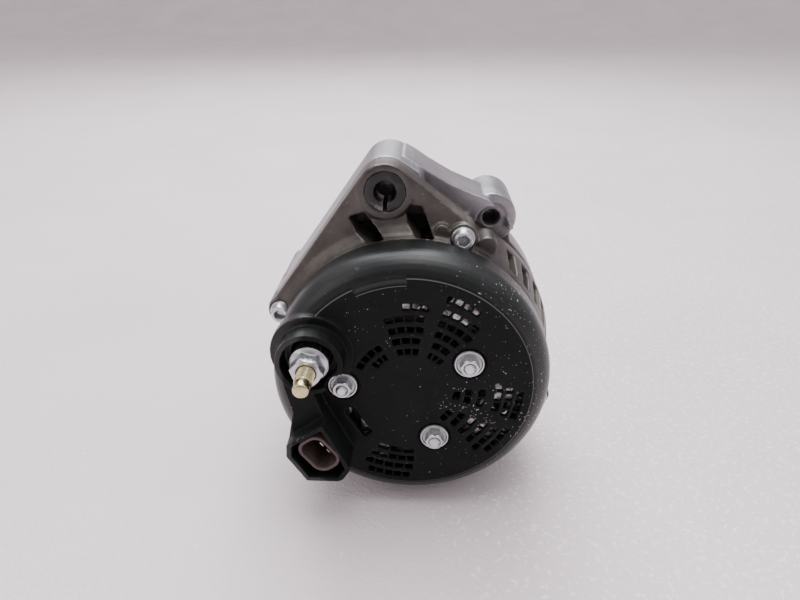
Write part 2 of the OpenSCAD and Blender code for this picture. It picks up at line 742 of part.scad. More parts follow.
// Six tapering claws that reach from station a to station b, turned by t
module claws(a, b, t) {
  intersection() {
    ring(38.6, rotor_r, min(a, b), max(a, b));
    for (i = [0:claw_count - 1]) rotate([0, -t - i * 360 / claw_count, 0]) translate([36, 0, 0])
      rotate([90, 0, 90]) linear_extrude(20) polygon([[a, -claw_half], [b, -5], [b, 5], [a, claw_half]]);
  }
}

module pole_disc(a, b, t) {
  ring(shaft_r, 31, a, b);
  intersection() {
    ring(30, rotor_r, a, b);
    for (i = [0:claw_count - 1]) rotate([0, -t - i * 360 / claw_count, 0]) translate([20, 0, 0])
      rotate([90, 0, 90]) linear_extrude(36)
        polygon([[a, -claw_half], [b, -claw_half], [b, claw_half], [a, claw_half]]);
  }
}

module rear_claw_pole() color([0.36, 0.35, 0.35]) at_face() {
  pole_disc(pole_span[0], pole_span[0] + pole_disc, 0);
  ring(shaft_r, core_r, pole_span[0] + pole_disc - 1, 64);
  claws(pole_span[0] + pole_disc - 1, pole_span[1] - 2, 0);
}

module front_claw_pole() color([0.36, 0.35, 0.35]) at_face() {
  pole_disc(pole_span[1] - pole_disc, pole_span[1], 30);
  ring(shaft_r, core_r, 64, pole_span[1] - pole_disc + 1);
  claws(pole_span[1] - pole_disc + 1, pole_span[0] + 2, 30);
}

bobbin_span = [57.1, 70.9];

module field_bobbin() color([0.85, 0.83, 0.75]) at_face() {
  turned() polygon([
    [core_r, bobbin_span[0]], [coil_r + 0.8, bobbin_span[0]], [coil_r + 0.8, bobbin_span[0] + 1.2],
    [core_r + 1.4, bobbin_span[0] + 1.2], [core_r + 1.4, bobbin_span[1] - 1.2],
    [coil_r + 0.8, bobbin_span[1] - 1.2], [coil_r + 0.8, bobbin_span[1]], [core_r, bobbin_span[1]]
  ]);
}

module field_coil() color([0.6, 0.3, 0.15]) at_face() {
  ring(core_r + 1.4, coil_r, bobbin_span[0] + 1.2, bobbin_span[1] - 1.2);
}

// Fan blades between two stations, bent like a quarter of a small circle
module blades(a, b, r_in, t0, side) {
  for (i = [0:fan_blades - 1]) slab(a, b) rotate(t0 + i * 360 / fan_blades) translate([r_in, 0])
    polygon(concat([for (k = [0:5]) [15 * sin(9 * k) + 0.6, side * (15 - 15 * cos(9 * k)) * 1.3]],
                   [for (k = [5:-1:0]) [15 * sin(9 * k) + 0.6, side * (15 - 15 * cos(9 * k)) * 1.3 + 1.3]]));
}

fan_sheet = 1.4;

module rear_fan() color([0.5, 0.5, 0.5]) at_face() {
  difference() {
    ring(16, 46, pole_span[0] - fan_sheet, pole_span[0]);
    for (i = [0:5]) rod(polar(26, 60 * i + 30), 3.5, 40, 50);
  }
  blades(38.8, pole_span[0] - fan_sheet, 34, 0, 1);
}

module front_fan() color([0.5, 0.5, 0.5]) at_face() {
  difference() {
    ring(16, 46, pole_span[1], pole_span[1] + fan_sheet);
    for (i = [0:5]) rod(polar(26, 60 * i), 3.5, 80, 90);
  }
  blades(pole_span[1] + fan_sheet, 90, 34, 10, -1);
}

slip_ring_spans = [[6.5, 13], [14.5, 21]];
sleeve_r = 6.2;

module slip_ring_sleeve() color([0.25, 0.18, 0.14]) at_face() {
  turned() polygon([
    [5, 5], [7.5, 5], [7.5, 6.5], [sleeve_r, 6.5], [sleeve_r, 13], [7.5, 13], [7.5, 14.5], [sleeve_r, 14.5],
    [sleeve_r, 21], [7.8, 21], [7.8, 24], [5, 24]
  ]);
}

module slip_rings() color([0.75, 0.42, 0.2]) at_face() {
  for (s = slip_ring_spans) ring(sleeve_r, ring_r, s[0], s[1]);
}

// ---------------------------------------------------------------- bearings

// Each list: bore radius, outside radius, ball radius, pitch radius, inner land, outer land, balls
rear_bearing = [7.5, 17.5, 2.975, 12.5, 10.5, 14.5, 8];
front_bearing = [8.5, 23.5, 4.36, 16, 12.8, 19.2, 7];
race_gap = 0.05;
ball_turn = 0.25;

module bearing_outer(b, s) difference() {
  ring(b[5], b[1], s[0], s[1]);
  turned() translate([b[3], (s[0] + s[1]) / 2]) circle(r = b[2] + race_gap, $fn = 64);
}

module bearing_inner(b, s) difference() {
  ring(b[0], b[4], s[0], s[1]);
  turned() translate([b[3], (s[0] + s[1]) / 2]) circle(r = b[2] + race_gap, $fn = 64);
}

module bearing_balls(b, s) for (i = [0:b[6] - 1]) {
  p = polar(b[3], (i + ball_turn) * 360 / b[6]);
  translate([p[0], (s[0] + s[1]) / 2, p[1]]) sphere(r = b[2], $fn = 32);
}

module bearing_cage(b, s) difference() {
  mid = (s[0] + s[1]) / 2;
  ring(b[3] - 0.75, b[3] + 0.75, mid - b[2] - 1.1, mid + 0.35 * b[2]);
  for (i = [0:b[6] - 1])
    rod(polar(b[3], (i + ball_turn) * 360 / b[6]), b[2] + 0.06, mid - b[2] - 0.06, mid + b[2]);
}

module bearing_seals(b, s) {
  ring(b[4] + 0.1, b[5], s[0] + 0.4, s[0] + 1.1);
  ring(b[4] + 0.1, b[5], s[1] - 1.1, s[1] - 0.4);
}

steel = [0.7, 0.7, 0.73];
seal_black = [0.1, 0.1, 0.1];
cage_tan = [0.8, 0.66, 0.4];

module rear_bearing_outer() color(steel) at_face() bearing_outer(rear_bearing, rear_bearing_span);
module rear_bearing_inner() color(steel) at_face() bearing_inner(rear_bearing, rear_bearing_span);
module rear_bearing_balls() color(steel) at_face() bearing_balls(rear_bearing, rear_bearing_span);
module rear_bearing_cage() color(cage_tan) at_face() bearing_cage(rear_bearing, rear_bearing_span);
module rear_bearing_seals() color(seal_black) at_face() bearing_seals(rear_bearing, rear_bearing_span);
module front_bearing_outer() color(steel) at_face() bearing_outer(front_bearing, front_bearing_span);
module front_bearing_inner() color(steel) at_face() bearing_inner(front_bearing, front_bearing_span);
module front_bearing_balls() color(steel) at_face() bearing_balls(front_bearing, front_bearing_span);
module front_bearing_cage() color(cage_tan) at_face() bearing_cage(front_bearing, front_bearing_span);
module front_bearing_seals() color(seal_black) at_face() bearing_seals(front_bearing, front_bearing_span);

module rear_bearing_sleeve() color([0.15, 0.15, 0.16]) at_face() {
  ring(rear_bearing[1], hub_bore_r, rear_bearing_span[0], rear_bearing_span[1]);
}

module bearing_retainer() color([0.7, 0.7, 0.72]) at_face() {
  difference() {
    ring(18.5, 31, front_bearing_span[0] - 2, front_bearing_span[0]);
    for (t = retainer_screw_angles) rod(polar(retainer_screw_r, t), 2.03, 80, 90);
  }
}

module retainer_screws() color([0.68, 0.68, 0.7]) at_face() {
  for (t = retainer_screw_angles) {
    p = polar(retainer_screw_r, t);
    difference() {
      union() {
        rod(p, 3.2, front_face, front_face + 2.2);
        rod(p, 2, front_bearing_span[0] - 2, front_face);
      }
      rod(p, 1.6, front_face + 0.9, front_face + 3, 6);
    }
  }
}

// ---------------------------------------------------------------- pulley

module pulley_spacer() color([0.66, 0.66, 0.68]) at_face() {
  ring(8.5, 12.4, front_face, pulley_span[0]);
}

rib_start = belt_to_rear - groove_count * groove_pitch / 2;

// Outline of the belt grooves, from the rear flange to the front flange
function groove_points() = [for (i = [0:groove_count - 1]) each [
  [pulley_r, rib_start + i * groove_pitch + 0.3],
  [pulley_r - groove_depth, rib_start + (i + 0.5) * groove_pitch - 0.35],
  [pulley_r - groove_depth, rib_start + (i + 0.5) * groove_pitch + 0.35],
  [pulley_r, rib_start + (i + 1) * groove_pitch - 0.3]
]];

module pulley() color([0.5, 0.5, 0.53]) at_face() {
  turned() polygon(concat(
    [[8.5, pulley_span[0]], [15, pulley_span[0]], [15.5, 108], [22.5, 108], [23, pulley_span[0]],
     [pulley_r - 1.2, pulley_span[0]], [pulley_r - 0.6, pulley_span[0] + 0.5]],
    groove_points(),
    [[pulley_r - 0.6, pulley_span[1] - 0.5], [pulley_r - 1.1, pulley_span[1]], [23.4, pulley_span[1]],
     [22.6, 125], [22.6, 113], [17, 113], [16.4, nut_span[0]], [8.5, nut_span[0]]]
  ));
}

module pulley_nut() color([0.7, 0.7, 0.72]) at_face() {
  difference() {
    intersection() {
      rod([0, 0], 13.86, nut_span[0], nut_span[1], 6);
      turned() polygon([
        [0, nut_span[0]], [13.86, nut_span[0]], [13.86, nut_span[1] - 1.2], [12, nut_span[1]],
        [0, nut_span[1]]
      ]);
    }
    rod([0, 0], 8.03, nut_span[0] - 1, nut_span[1] + 1);
  }
}

// ---------------------------------------------------------------- assembly

rear_cover();
cover_studs();
cover_nuts();
battery_stud();
battery_nut();
battery_spacer();
connector_shell();
connector_pins();
regulator_body();
regulator_plate();
regulator_screws();
brush_holder();
brush_rear();
brush_front();
brush_spring_rear();
brush_spring_front();
positive_plate();
negative_plate();
positive_diodes();
negative_diodes();
terminal_ring();
rectifier_screws();
rear_bracket();
front_bracket();
ear_bush();
through_bolts();
stator_core();
stator_winding();
rotor_shaft();
rear_claw_pole();
front_claw_pole();
field_bobbin();
field_coil();
rear_fan();
front_fan();
slip_ring_sleeve();
slip_rings();
rear_bearing_outer();
rear_bearing_inner();
rear_bearing_balls();
rear_bearing_cage();
rear_bearing_seals();
rear_bearing_sleeve();
front_bearing_outer();
front_bearing_inner();
front_bearing_balls();
front_bearing_cage();
front_bearing_seals();
bearing_retainer();
retainer_screws();
pulley_spacer();
pulley();
pulley_nut();
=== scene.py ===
import json
import math

import bmesh
import bpy
import numpy as np
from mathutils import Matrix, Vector

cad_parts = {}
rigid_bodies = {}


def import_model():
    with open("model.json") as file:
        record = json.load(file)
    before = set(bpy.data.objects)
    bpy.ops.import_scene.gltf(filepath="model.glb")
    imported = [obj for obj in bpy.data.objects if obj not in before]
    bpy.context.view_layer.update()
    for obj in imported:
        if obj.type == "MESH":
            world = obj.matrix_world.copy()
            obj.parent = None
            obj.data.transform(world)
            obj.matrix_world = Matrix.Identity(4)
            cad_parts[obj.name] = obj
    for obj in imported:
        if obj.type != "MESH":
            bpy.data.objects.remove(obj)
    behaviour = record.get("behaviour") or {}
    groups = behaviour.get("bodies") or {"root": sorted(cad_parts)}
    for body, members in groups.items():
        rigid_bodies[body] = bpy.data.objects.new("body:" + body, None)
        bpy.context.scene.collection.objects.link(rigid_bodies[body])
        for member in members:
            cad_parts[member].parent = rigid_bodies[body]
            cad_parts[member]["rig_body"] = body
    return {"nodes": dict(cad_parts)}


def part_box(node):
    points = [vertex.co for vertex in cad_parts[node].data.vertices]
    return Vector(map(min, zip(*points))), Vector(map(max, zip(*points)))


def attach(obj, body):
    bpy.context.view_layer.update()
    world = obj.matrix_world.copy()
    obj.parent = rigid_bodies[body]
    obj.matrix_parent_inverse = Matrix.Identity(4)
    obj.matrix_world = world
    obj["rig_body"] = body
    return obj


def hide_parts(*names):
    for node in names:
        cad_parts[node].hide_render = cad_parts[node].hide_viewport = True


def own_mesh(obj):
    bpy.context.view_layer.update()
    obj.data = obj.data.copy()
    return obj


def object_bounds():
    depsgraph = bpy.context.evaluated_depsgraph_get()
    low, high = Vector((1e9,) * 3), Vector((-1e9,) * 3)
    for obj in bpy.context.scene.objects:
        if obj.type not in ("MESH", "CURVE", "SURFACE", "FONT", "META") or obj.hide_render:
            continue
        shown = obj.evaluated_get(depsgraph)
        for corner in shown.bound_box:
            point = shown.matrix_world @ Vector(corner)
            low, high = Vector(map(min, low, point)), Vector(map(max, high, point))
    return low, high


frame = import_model()
cad_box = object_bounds()


# ---------------------------------------------------------------- rotor shaft
# The shaft is one steel forging, turned and ground at its bearing seats. Its front end is threaded
# for the pulley nut and has a hexagon socket that holds it while the nut is tightened.

MM = 0.001
TOUCH = 0.0005 * MM


def put(tree, kind, inputs=None, **settings):
    """A node of that kind. Each input, by name or number, is set to a value or linked to a socket."""
    made = tree.nodes.new(kind)
    for setting, value in settings.items():
        setattr(made, setting, value)
    for key, value in (inputs or {}).items():
        if isinstance(value, bpy.types.NodeSocket):
            tree.links.new(value, made.inputs[key])
        else:
            made.inputs[key].default_value = value
    return made


def sums(tree, operation, *values):
    """The result of one step of arithmetic on sockets or numbers, kept between 0 and 1."""
    made = put(tree, "ShaderNodeMath", dict(enumerate(values)), operation=operation, use_clamp=True)
    return made.outputs[0]


def signed(tree, operation, *values):
    """The result of one step of arithmetic on sockets or numbers, whatever its size or sign."""
    return put(tree, "ShaderNodeMath", dict(enumerate(values)), operation=operation).outputs[0]


def effect(name, inputs, outputs):
    """An empty shader group with number inputs, and outputs of the given names."""
    group = bpy.data.node_groups.new(name, "ShaderNodeTree")
    for label, value in inputs.items():
        socket = group.interface.new_socket(name=label, in_out="INPUT", socket_type="NodeSocketFloat")
        socket.default_value = value
    for label in outputs:
        group.interface.new_socket(name=label, in_out="OUTPUT", socket_type="NodeSocketFloat")
    return group, group.nodes.new("NodeGroupInput").outputs, group.nodes.new("NodeGroupOutput").inputs


def noise(tree, vector, scale, detail=3.0, rough=0.55):
    """A cloudy pattern of that many patches per metre, from 0 to 1."""
    values = {"Vector": vector, "Scale": scale, "Detail": detail, "Roughness": rough}
    return put(tree, "ShaderNodeTexNoise", values).outputs[0]


def stretch(tree, value, low, high):
    """The value spread so that low becomes 0 and high becomes 1, and held there."""
    made = put(tree, "ShaderNodeMapRange", {0: value, 1: low, 2: high}, clamp=True)
    return made.outputs[0]


def blend(tree, share, first, second):
    """The first colour where share is 0, and the second where it is 1."""
    return put(tree, "ShaderNodeMix", {0: share, 6: first, 7: second}, data_type="RGBA").outputs[2]


def build_grain_effect():
    """Two sizes of unevenness over the surface: broad patches, and fine grain for height and gloss."""
    group, given, result = effect("surface_grain", {"Patches": 60.0, "Grain": 1500.0}, ("Patch", "Grain"))
    place = put(group, "ShaderNodeTexCoord").outputs["Object"]
    patch = stretch(group, noise(group, place, given["Patches"], 4.0, 0.6), 0.3, 0.7)
    grain = stretch(group, noise(group, place, given["Grain"], 3.0, 0.6), 0.25, 0.75)
    group.links.new(patch, result["Patch"])
    group.links.new(grain, result["Grain"])
    return group


def build_wear_and_highlight_effect():
    """Bright edges where the surface turns outwards sharply, broken up by noise: rubbed wear, and on the
    cover partly a painted highlight.
    """
    group, given, result = effect("edge_wear_and_highlight", {"Amount": 0.5, "Patches": 400.0}, ("Wear and highlight",))
    place = put(group, "ShaderNodeTexCoord").outputs["Object"]
    sharp = stretch(group, put(group, "ShaderNodeNewGeometry").outputs["Pointiness"], 0.52, 0.6)
    broken = stretch(group, noise(group, place, given["Patches"]), 0.35, 0.65)
    wear_highlight_mask = sums(group, "MULTIPLY", sums(group, "MULTIPLY", sharp, broken), given["Amount"])
    group.links.new(wear_highlight_mask, result["Wear and highlight"])
    return group


def build_dust_effect():
    """Dust that has settled on what faces up, with separate pale specks of uneven shape scattered through it.
    Side is how much thicker the specks lie towards +X."""
    given_values = {"Film": 0.3, "Specks": 0.5, "Speck scale": 700.0, "Side": 0.0}
    group, given, result = effect("settled_dust", given_values, ("Dust",))
    place = put(group, "ShaderNodeTexCoord").outputs["Object"]
    facing = put(group, "ShaderNodeSeparateXYZ", {0: put(group, "ShaderNodeNewGeometry").outputs["Normal"]})
    up = stretch(group, facing.outputs["Z"], -0.15, 0.9)
    cloud = stretch(group, noise(group, place, 45.0, 5.0, 0.7), 0.42, 0.75)
    film = sums(group, "MULTIPLY", sums(group, "MULTIPLY", up, cloud), given["Film"])
    flakes = noise(group, place, given["Speck scale"], 2.0, 0.5)
    across = put(group, "ShaderNodeSeparateXYZ", {0: place}).outputs["X"]
    sided = sums(group, "MULTIPLY", stretch(group, across, -0.02, 0.06), given["Side"])
    thick = sums(group, "ADD", stretch(group, noise(group, place, 38.0, 4.0, 0.65), 0.5, 0.8), sided)
    enough = sums(group, "SUBTRACT", 0.77, sums(group, "MULTIPLY", thick, 0.17))
    over = signed(group, "SUBTRACT", flakes, enough)
    specks = sums(group, "MULTIPLY", stretch(group, over, 0.0, 0.03), given["Specks"])
    group.links.new(sums(group, "ADD", film, specks), result["Dust"])
    return group


def build_corner_shade_effect():
    """Darkening in inside corners and behind ribs, where little of the open air is in sight: painted shade,
    mixed with some dirt held there.
    """
    group, given, result = effect("corner_dirt_and_shade", {"Reach": 0.004, "Amount": 0.5}, ("Dirt and shade",))
    place = put(group, "ShaderNodeTexCoord").outputs["Object"]
    open_air = put(group, "ShaderNodeAmbientOcclusion", {"Distance": given["Reach"]}, samples=6).outputs["AO"]
    shut = stretch(group, open_air, 0.85, 0.3)
    patchy = sums(group, "ADD", 0.45, noise(group, place, 250.0))
    dirt_and_shade = sums(group, "MULTIPLY", sums(group, "MULTIPLY", shut, patchy), given["Amount"])
    group.links.new(dirt_and_shade, result["Dirt and shade"])
    return group


def build_lathe_effect():
    """Fine rings left by a turning tool round the shaft's axis."""
    group, given, result = effect("lathe_marks", {"Rings": 2500.0}, ("Marks",))
    place = put(group, "ShaderNodeTexCoord").outputs["Object"]
    along = put(group, "ShaderNodeSeparateXYZ", {0: place})
    across = put(group, "ShaderNodeVectorMath", {0: place, 1: (1, 0, 1)}, operation="MULTIPLY").outputs[0]
    radius = put(group, "ShaderNodeVectorMath", {0: across}, operation="LENGTH").outputs["Value"]
    ring = put(group, "ShaderNodeCombineXYZ", {0: radius, 1: along.outputs["Y"]}).outputs[0]
    group.links.new(stretch(group, noise(group, ring, given["Rings"], 2.0), 0.3, 0.7), result["Marks"])
    return group


GRAIN = build_grain_effect()
WEAR_AND_HIGHLIGHT = build_wear_and_highlight_effect()
DUST = build_dust_effect()
# The corner effect paints shade into corners and hollows, mixed with some dirt.
CORNER_SHADE = build_corner_shade_effect()
LATHE = build_lathe_effect()
RUBBED_ROUGHNESS = 0.3
DUSTY_ROUGHNESS = 0.85


def finish(name, colours, gloss, metallic=0.0, patches=60.0, grain=1500.0, depth=0.02, coat=0.0,
           wear_and_highlight=None, dust=None, dirt_and_shade=None, lathe=None, specular=0.5):
    """A material for one finish. colours are the two that its patches drift between, gloss the two
    roughnesses that its grain drifts between, depth the height of the grain in millimetres. The edge wear,
    the dust and the corner darkening are each a colour and that effect's own values. The corner darkening is
    painted shade mixed with dirt, and on the cover the edge wear is partly a painted highlight. lathe is the
    number of tool rings per metre, and specular is how strongly a skin that is not metal mirrors."""
    material = bpy.data.materials.new(name + "_finish")
    material["slot"] = name
    material.use_nodes = True
    tree = material.node_tree
    shader = tree.nodes["Principled BSDF"]
    shader.inputs["Metallic"].default_value = metallic
    shader.inputs["Coat Weight"].default_value = coat
    shader.inputs["Coat Roughness"].default_value = 0.35
    shader.inputs["Specular IOR Level"].default_value = specular
    skin = put(tree, "ShaderNodeGroup", node_tree=GRAIN)
    skin.inputs["Patches"].default_value = patches
    skin.inputs["Grain"].default_value = grain
    height = skin.outputs["Grain"]
    if lathe:
        marks = put(tree, "ShaderNodeGroup", node_tree=LATHE)
        marks.inputs["Rings"].default_value = lathe
        height = marks.outputs["Marks"]
    colour = blend(tree, skin.outputs["Patch"], (*colours[0], 1), (*colours[1], 1))
    rough = put(tree, "ShaderNodeMapRange", {0: height, 3: gloss[0], 4: gloss[1]}).outputs[0]
    metal = metallic
    for change, group, output, values in (
        (wear_and_highlight, WEAR_AND_HIGHLIGHT, "Wear and highlight", ("Amount", "Patches")), (dirt_and_shade, CORNER_SHADE, "Dirt and shade", ("Reach", "Amount")),
        (dust, DUST, "Dust", ("Film", "Specks", "Speck scale", "Side")),
    ):
        if not change:
            continue
        mask = put(tree, "ShaderNodeGroup", node_tree=group)
        for label, value in zip(values, change[1:]):
            mask.inputs[label].default_value = value
        colour = blend(tree, mask.outputs[output], colour, (*change[0], 1))
        target = RUBBED_ROUGHNESS if group == WEAR_AND_HIGHLIGHT else DUSTY_ROUGHNESS
        rough = put(tree, "ShaderNodeMapRange", {0: mask.outputs[output], 3: rough, 4: target}).outputs[0]
        if metallic and group != WEAR_AND_HIGHLIGHT:
            metal = put(tree, "ShaderNodeMapRange", {0: mask.outputs[output], 3: metal, 4: 0.0}).outputs[0]
    tree.links.new(colour, shader.inputs["Base Color"])
    tree.links.new(rough, shader.inputs["Roughness"])
    if metal is not metallic:
        tree.links.new(metal, shader.inputs["Metallic"])
    bump = put(tree, "ShaderNodeBump", {"Height": height, "Strength": 1.0, "Distance": depth * MM})
    tree.links.new(bump.outputs["Normal"], shader.inputs["Normal"])
    return material


def dress(piece, node, material):
    """The piece stands for its CAD node, moves with its body and takes its finish and material slot."""
    piece.data.materials.clear()
    piece.data.materials.append(material)
    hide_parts(node)
    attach(piece, frame["nodes"][node]["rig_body"])
    return piece


def shade(mesh, angle):
    """Smooth shading, with a crease wherever two faces meet at more than the angle in degrees."""
    mesh.polygons.foreach_set("use_smooth", np.ones(len(mesh.polygons), bool))
    mesh.set_sharp_from_angle(angle=math.radians(angle))


def break_edges(piece, width, rounds=2, angle=30):
    """Rounds every edge sharper than the angle by that width in millimetres, as a deburred part has."""
    bevel = piece.modifiers.new("broken edges", "BEVEL")
    bevel.width = width * MM
    bevel.segments = rounds
    bevel.limit_method = "ANGLE"
    bevel.angle_limit = math.radians(angle)
    bevel.use_clamp_overlap = True
    bevel.harden_normals = True
    return piece


def placed(name, mesh):
    """A new object of that name in the scene, with that mesh."""
    piece = bpy.data.objects.new(name, mesh)
    bpy.context.scene.collection.objects.link(piece)
    return piece


def merged(node):
    """A copy of a CAD node as one closed mesh: doubles merged and flat facets joined."""
    mesh = frame["nodes"][node].data.copy()
    form = bmesh.new()
    form.from_mesh(mesh)
    bmesh.ops.remove_doubles(form, verts=form.verts, dist=TOUCH)
    bmesh.ops.dissolve_limit(form, angle_limit=math.radians(0.4), verts=form.verts, edges=form.edges)
    form.to_mesh(mesh)
    form.free()
    if "UVMap" in mesh.attributes:
        mesh.attributes.remove(mesh.attributes["UVMap"])
    return placed(node + "_piece", mesh)


def eased(node, width, material, rounds=2):
    """A CAD node with its edges broken by width millimetres and its finish on."""
    piece = merged(node)
    shade(piece.data, 180)
    break_edges(piece, width, rounds)
    return dress(piece, node, material)


def closed_skin(name, points, faces):
    """An object from points and four-sided faces. Points in one place become one, and faces turn outwards."""
    mesh = bpy.data.meshes.new(name)
    mesh.from_pydata(points.reshape(-1, 3).tolist(), [], faces.reshape(-1, 4).tolist())
    form = bmesh.new()
    form.from_mesh(mesh)
    bmesh.ops.remove_doubles(form, verts=form.verts, dist=TOUCH)
    bmesh.ops.recalc_face_normals(form, faces=form.faces)
    form.to_mesh(mesh)
    form.free()
    return placed(name, mesh)


def skin_of(name, rows, wrap=False):
    """An object from a grid of points, rows by sides by 3. Each ring of points is closed, and
    neighbouring rings are joined by four-sided faces. Rings of no size close up into one point, and
    with wrap the last ring is joined to the first."""
    count, sides = rows.shape[:2]
    first = np.arange(count if wrap else count - 1)[:, None]
    side = np.arange(sides)[None, :]
    after, beside = (first + 1) % count, (side + 1) % sides
    corners = (first * sides + side, first * sides + beside, after * sides + beside, after * sides + side)
    return closed_skin(name, rows, np.stack(corners, -1))


def joined(pieces):
    """The first of the pieces, with the meshes of all of them in it. The others are removed."""
    form = bmesh.new()
    for piece in pieces:
        form.from_mesh(piece.data)
    for piece in pieces[1:]:
        bpy.data.objects.remove(piece)
    form.to_mesh(pieces[0].data)
    form.free()
    shade(pieces[0].data, 38)
    return pieces[0]


def islands(node):
    """The box of each separate solid in a CAD node, as an array of solids by corner by axis."""
    form = bmesh.new()
    form.from_mesh(frame["nodes"][node].data)
    bmesh.ops.remove_doubles(form, verts=form.verts, dist=TOUCH)
    waiting, boxes = set(form.verts), []
    while waiting:
        reached, solid = [waiting.pop()], []
        while reached:
            corner = reached.pop()
            solid.append(corner.co[:])
            beside = {edge.other_vert(corner) for edge in corner.link_edges} & waiting
            waiting -= beside
            reached.extend(beside)
        boxes.append([np.min(solid, 0), np.max(solid, 0)])
    form.free()
    return np.array(boxes)


def middles(boxes):
    """The middle of each box, as (x, z)."""
    return [((low[0] + high[0]) / 2, (low[2] + high[2]) / 2) for low, high in boxes]


STEPS_PER_PITCH = 8


def screw_skin(name, centres, rows, thread=None, sides=72, wrap=False, turn=0.0):
    """The skin of turned and flatted parts, one at each centre (x, z). A row is (round radius, distance of
    the flats or None, y), in metres. Its radius at an angle is the smaller of the round radius and flats
    divided by the cosine of the angle from the middle of the nearest flat. thread is (pitch, depth, start,
    end): between start and end the radius loses depth times a triangle wave of y / pitch less the share of
    a turn."""
    if thread:
        pitch, depth, start, end = thread
        fine, last = [], rows[0]
        for row in rows[1:]:
            steps = 1
            if min(row[2], last[2]) >= start - 1e-9 and max(row[2], last[2]) <= end + 1e-9:
                steps = max(1, round(abs(row[2] - last[2]) / pitch * STEPS_PER_PITCH))
            fine += [[last[0] + (row[0] - last[0]) * k / steps, last[1],
                      last[2] + (row[2] - last[2]) * k / steps] for k in range(steps)]
            last = row
        rows = fine + [last]
    angle = np.arange(sides) * 2 * np.pi / sides
    radius = np.array([row[0] for row in rows])[:, None] * np.ones(sides)
    flats = np.array([row[1] or 1.0 for row in rows])[:, None]
    across = (angle - turn + np.pi / 6) % (np.pi / 3) - np.pi / 6
    radius = np.minimum(radius, flats / np.cos(across)[None, :])
    along = np.array([row[2] for row in rows])[:, None] * np.ones(sides)
    if thread:
        wave = np.abs(2 * ((along / pitch - angle / (2 * np.pi)) % 1.0) - 1)
        near = np.minimum(along - start, end - along) / (0.6 * pitch)
        inside = np.clip(near, 0, 1) * (radius > 3 * depth)
        radius = radius - depth * wave * inside
    rings = np.stack([radius * np.cos(angle), along, radius * np.sin(angle)], -1)
    return joined([skin_of(name, rings + np.array([x, 0, z]), wrap) for x, z in centres])


bearing_steel = finish("bearing_steel", [(0.55, 0.55, 0.57), (0.44, 0.44, 0.46)], (0.18, 0.34), 1.0,
                       depth=0.004, lathe=4200.0)
shaft_low, shaft_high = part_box("rotor_shaft")
seat, collar, ring_seat, front_seat, thread_r = 9 * MM, 7.5 * MM, 5 * MM, 8.5 * MM, 8 * MM
tail, front = shaft_low.y, shaft_high.y
ring_end, collar_end = tail + 20 * MM, tail + 34.5 * MM
seat_end, thread_start = front - 48 * MM, front - 14.5 * MM
socket, socket_depth = 4 * MM, 8 * MM
shaft = screw_skin("rotor_shaft_piece", [(0, 0)], [
    (0, None, tail), (0.8 * ring_seat, None, tail), (ring_seat, None, tail + 0.5 * MM),
    (ring_seat, None, ring_end), (collar - 0.3 * MM, None, ring_end), (collar, None, ring_end + 0.5 * MM),
    (collar, None, collar_end), (seat - 0.4 * MM, None, collar_end), (seat, None, collar_end + 0.5 * MM),
    (seat, None, seat_end), (front_seat, None, seat_end), (front_seat, None, thread_start - 0.5 * MM),
    (thread_r, None, thread_start), (thread_r, None, front - 1 * MM), (thread_r - 0.8 * MM, None, front),
    (5 * MM, None, front), (4.9 * MM, socket, front - 0.5 * MM), (4.62 * MM, socket, front - socket_depth),
    (0, None, front - socket_depth - 1.5 * MM),
], thread=(1.5 * MM, 0.5 * MM, thread_start, front - 1 * MM))
dress(shaft, "rotor_shaft", bearing_steel)


# ---------------------------------------------------------------- field bobbin
# A moulded nylon spool holds the field winding on the pole cores. It is cream plastic with two
# thin cheeks that keep the wire away from the claw poles.

cream_plastic = finish("cream_plastic", [(0.72, 0.66, 0.5), (0.62, 0.55, 0.4)], (0.35, 0.5), depth=0.01)
eased("field_bobbin", 0.25, cream_plastic)


# ---------------------------------------------------------------- field coil
# Enamelled copper wire is wound on the bobbin in close layers and set with varnish. The outer
# layer shows as fine ridges, one for each turn.

copper = finish("copper", [(0.5, 0.19, 0.07), (0.34, 0.11, 0.04)], (0.22, 0.4), 0.85, 30.0, 900.0, 0.01, 0.5,
                dirt_and_shade=((0.05, 0.03, 0.02), 0.003, 0.7))
coil_low, coil_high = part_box("field_coil")
wire_pitch = 0.8 * MM
coil_inner = 21.4 * MM
turns = int((coil_high.y - coil_low.y) / wire_pitch)
level = np.linspace(coil_low.y, coil_high.y, turns * STEPS_PER_PITCH + 1)
ridge = 0.5 * wire_pitch * (1 - np.abs(np.sin(np.pi * (level - coil_low.y) / wire_pitch)))
outer = coil_high.x - ridge
profile_r = np.concatenate([[coil_inner], outer, [coil_inner]])
profile_y = np.concatenate([[coil_low.y], level, [coil_high.y]])
coil_sides = 96
circle = np.arange(coil_sides) * 2 * np.pi / coil_sides
coil = skin_of("field_coil_piece", np.stack([
    profile_r[:, None] * np.cos(circle), profile_y[:, None] * np.ones(coil_sides),
    profile_r[:, None] * np.sin(circle),
], -1), wrap=True)
shade(coil.data, 60)
dress(coil, "field_coil", copper)


# ---------------------------------------------------------------- claw poles
# Two forged steel halves with six claws each are pressed onto the shaft from both sides of the
# coil. Their outside is turned true after pressing, and the rest keeps its dark forging scale.

pole_steel = finish("pole_steel", [(0.2, 0.19, 0.19), (0.11, 0.105, 0.1)], (0.35, 0.55), 0.9, 90.0, 1100.0,
                    0.05, wear_and_highlight=((0.5, 0.49, 0.48), 0.7, 300.0), dirt_and_shade=((0.06, 0.035, 0.02), 0.004, 0.6))
eased("rear_claw_pole", 0.5, pole_steel)
eased("front_claw_pole", 0.5, pole_steel)


# ---------------------------------------------------------------- fans
# Each fan is pressed from one steel sheet, with curved blades bent up from it, and is spot-welded
# to the face of its claw pole.

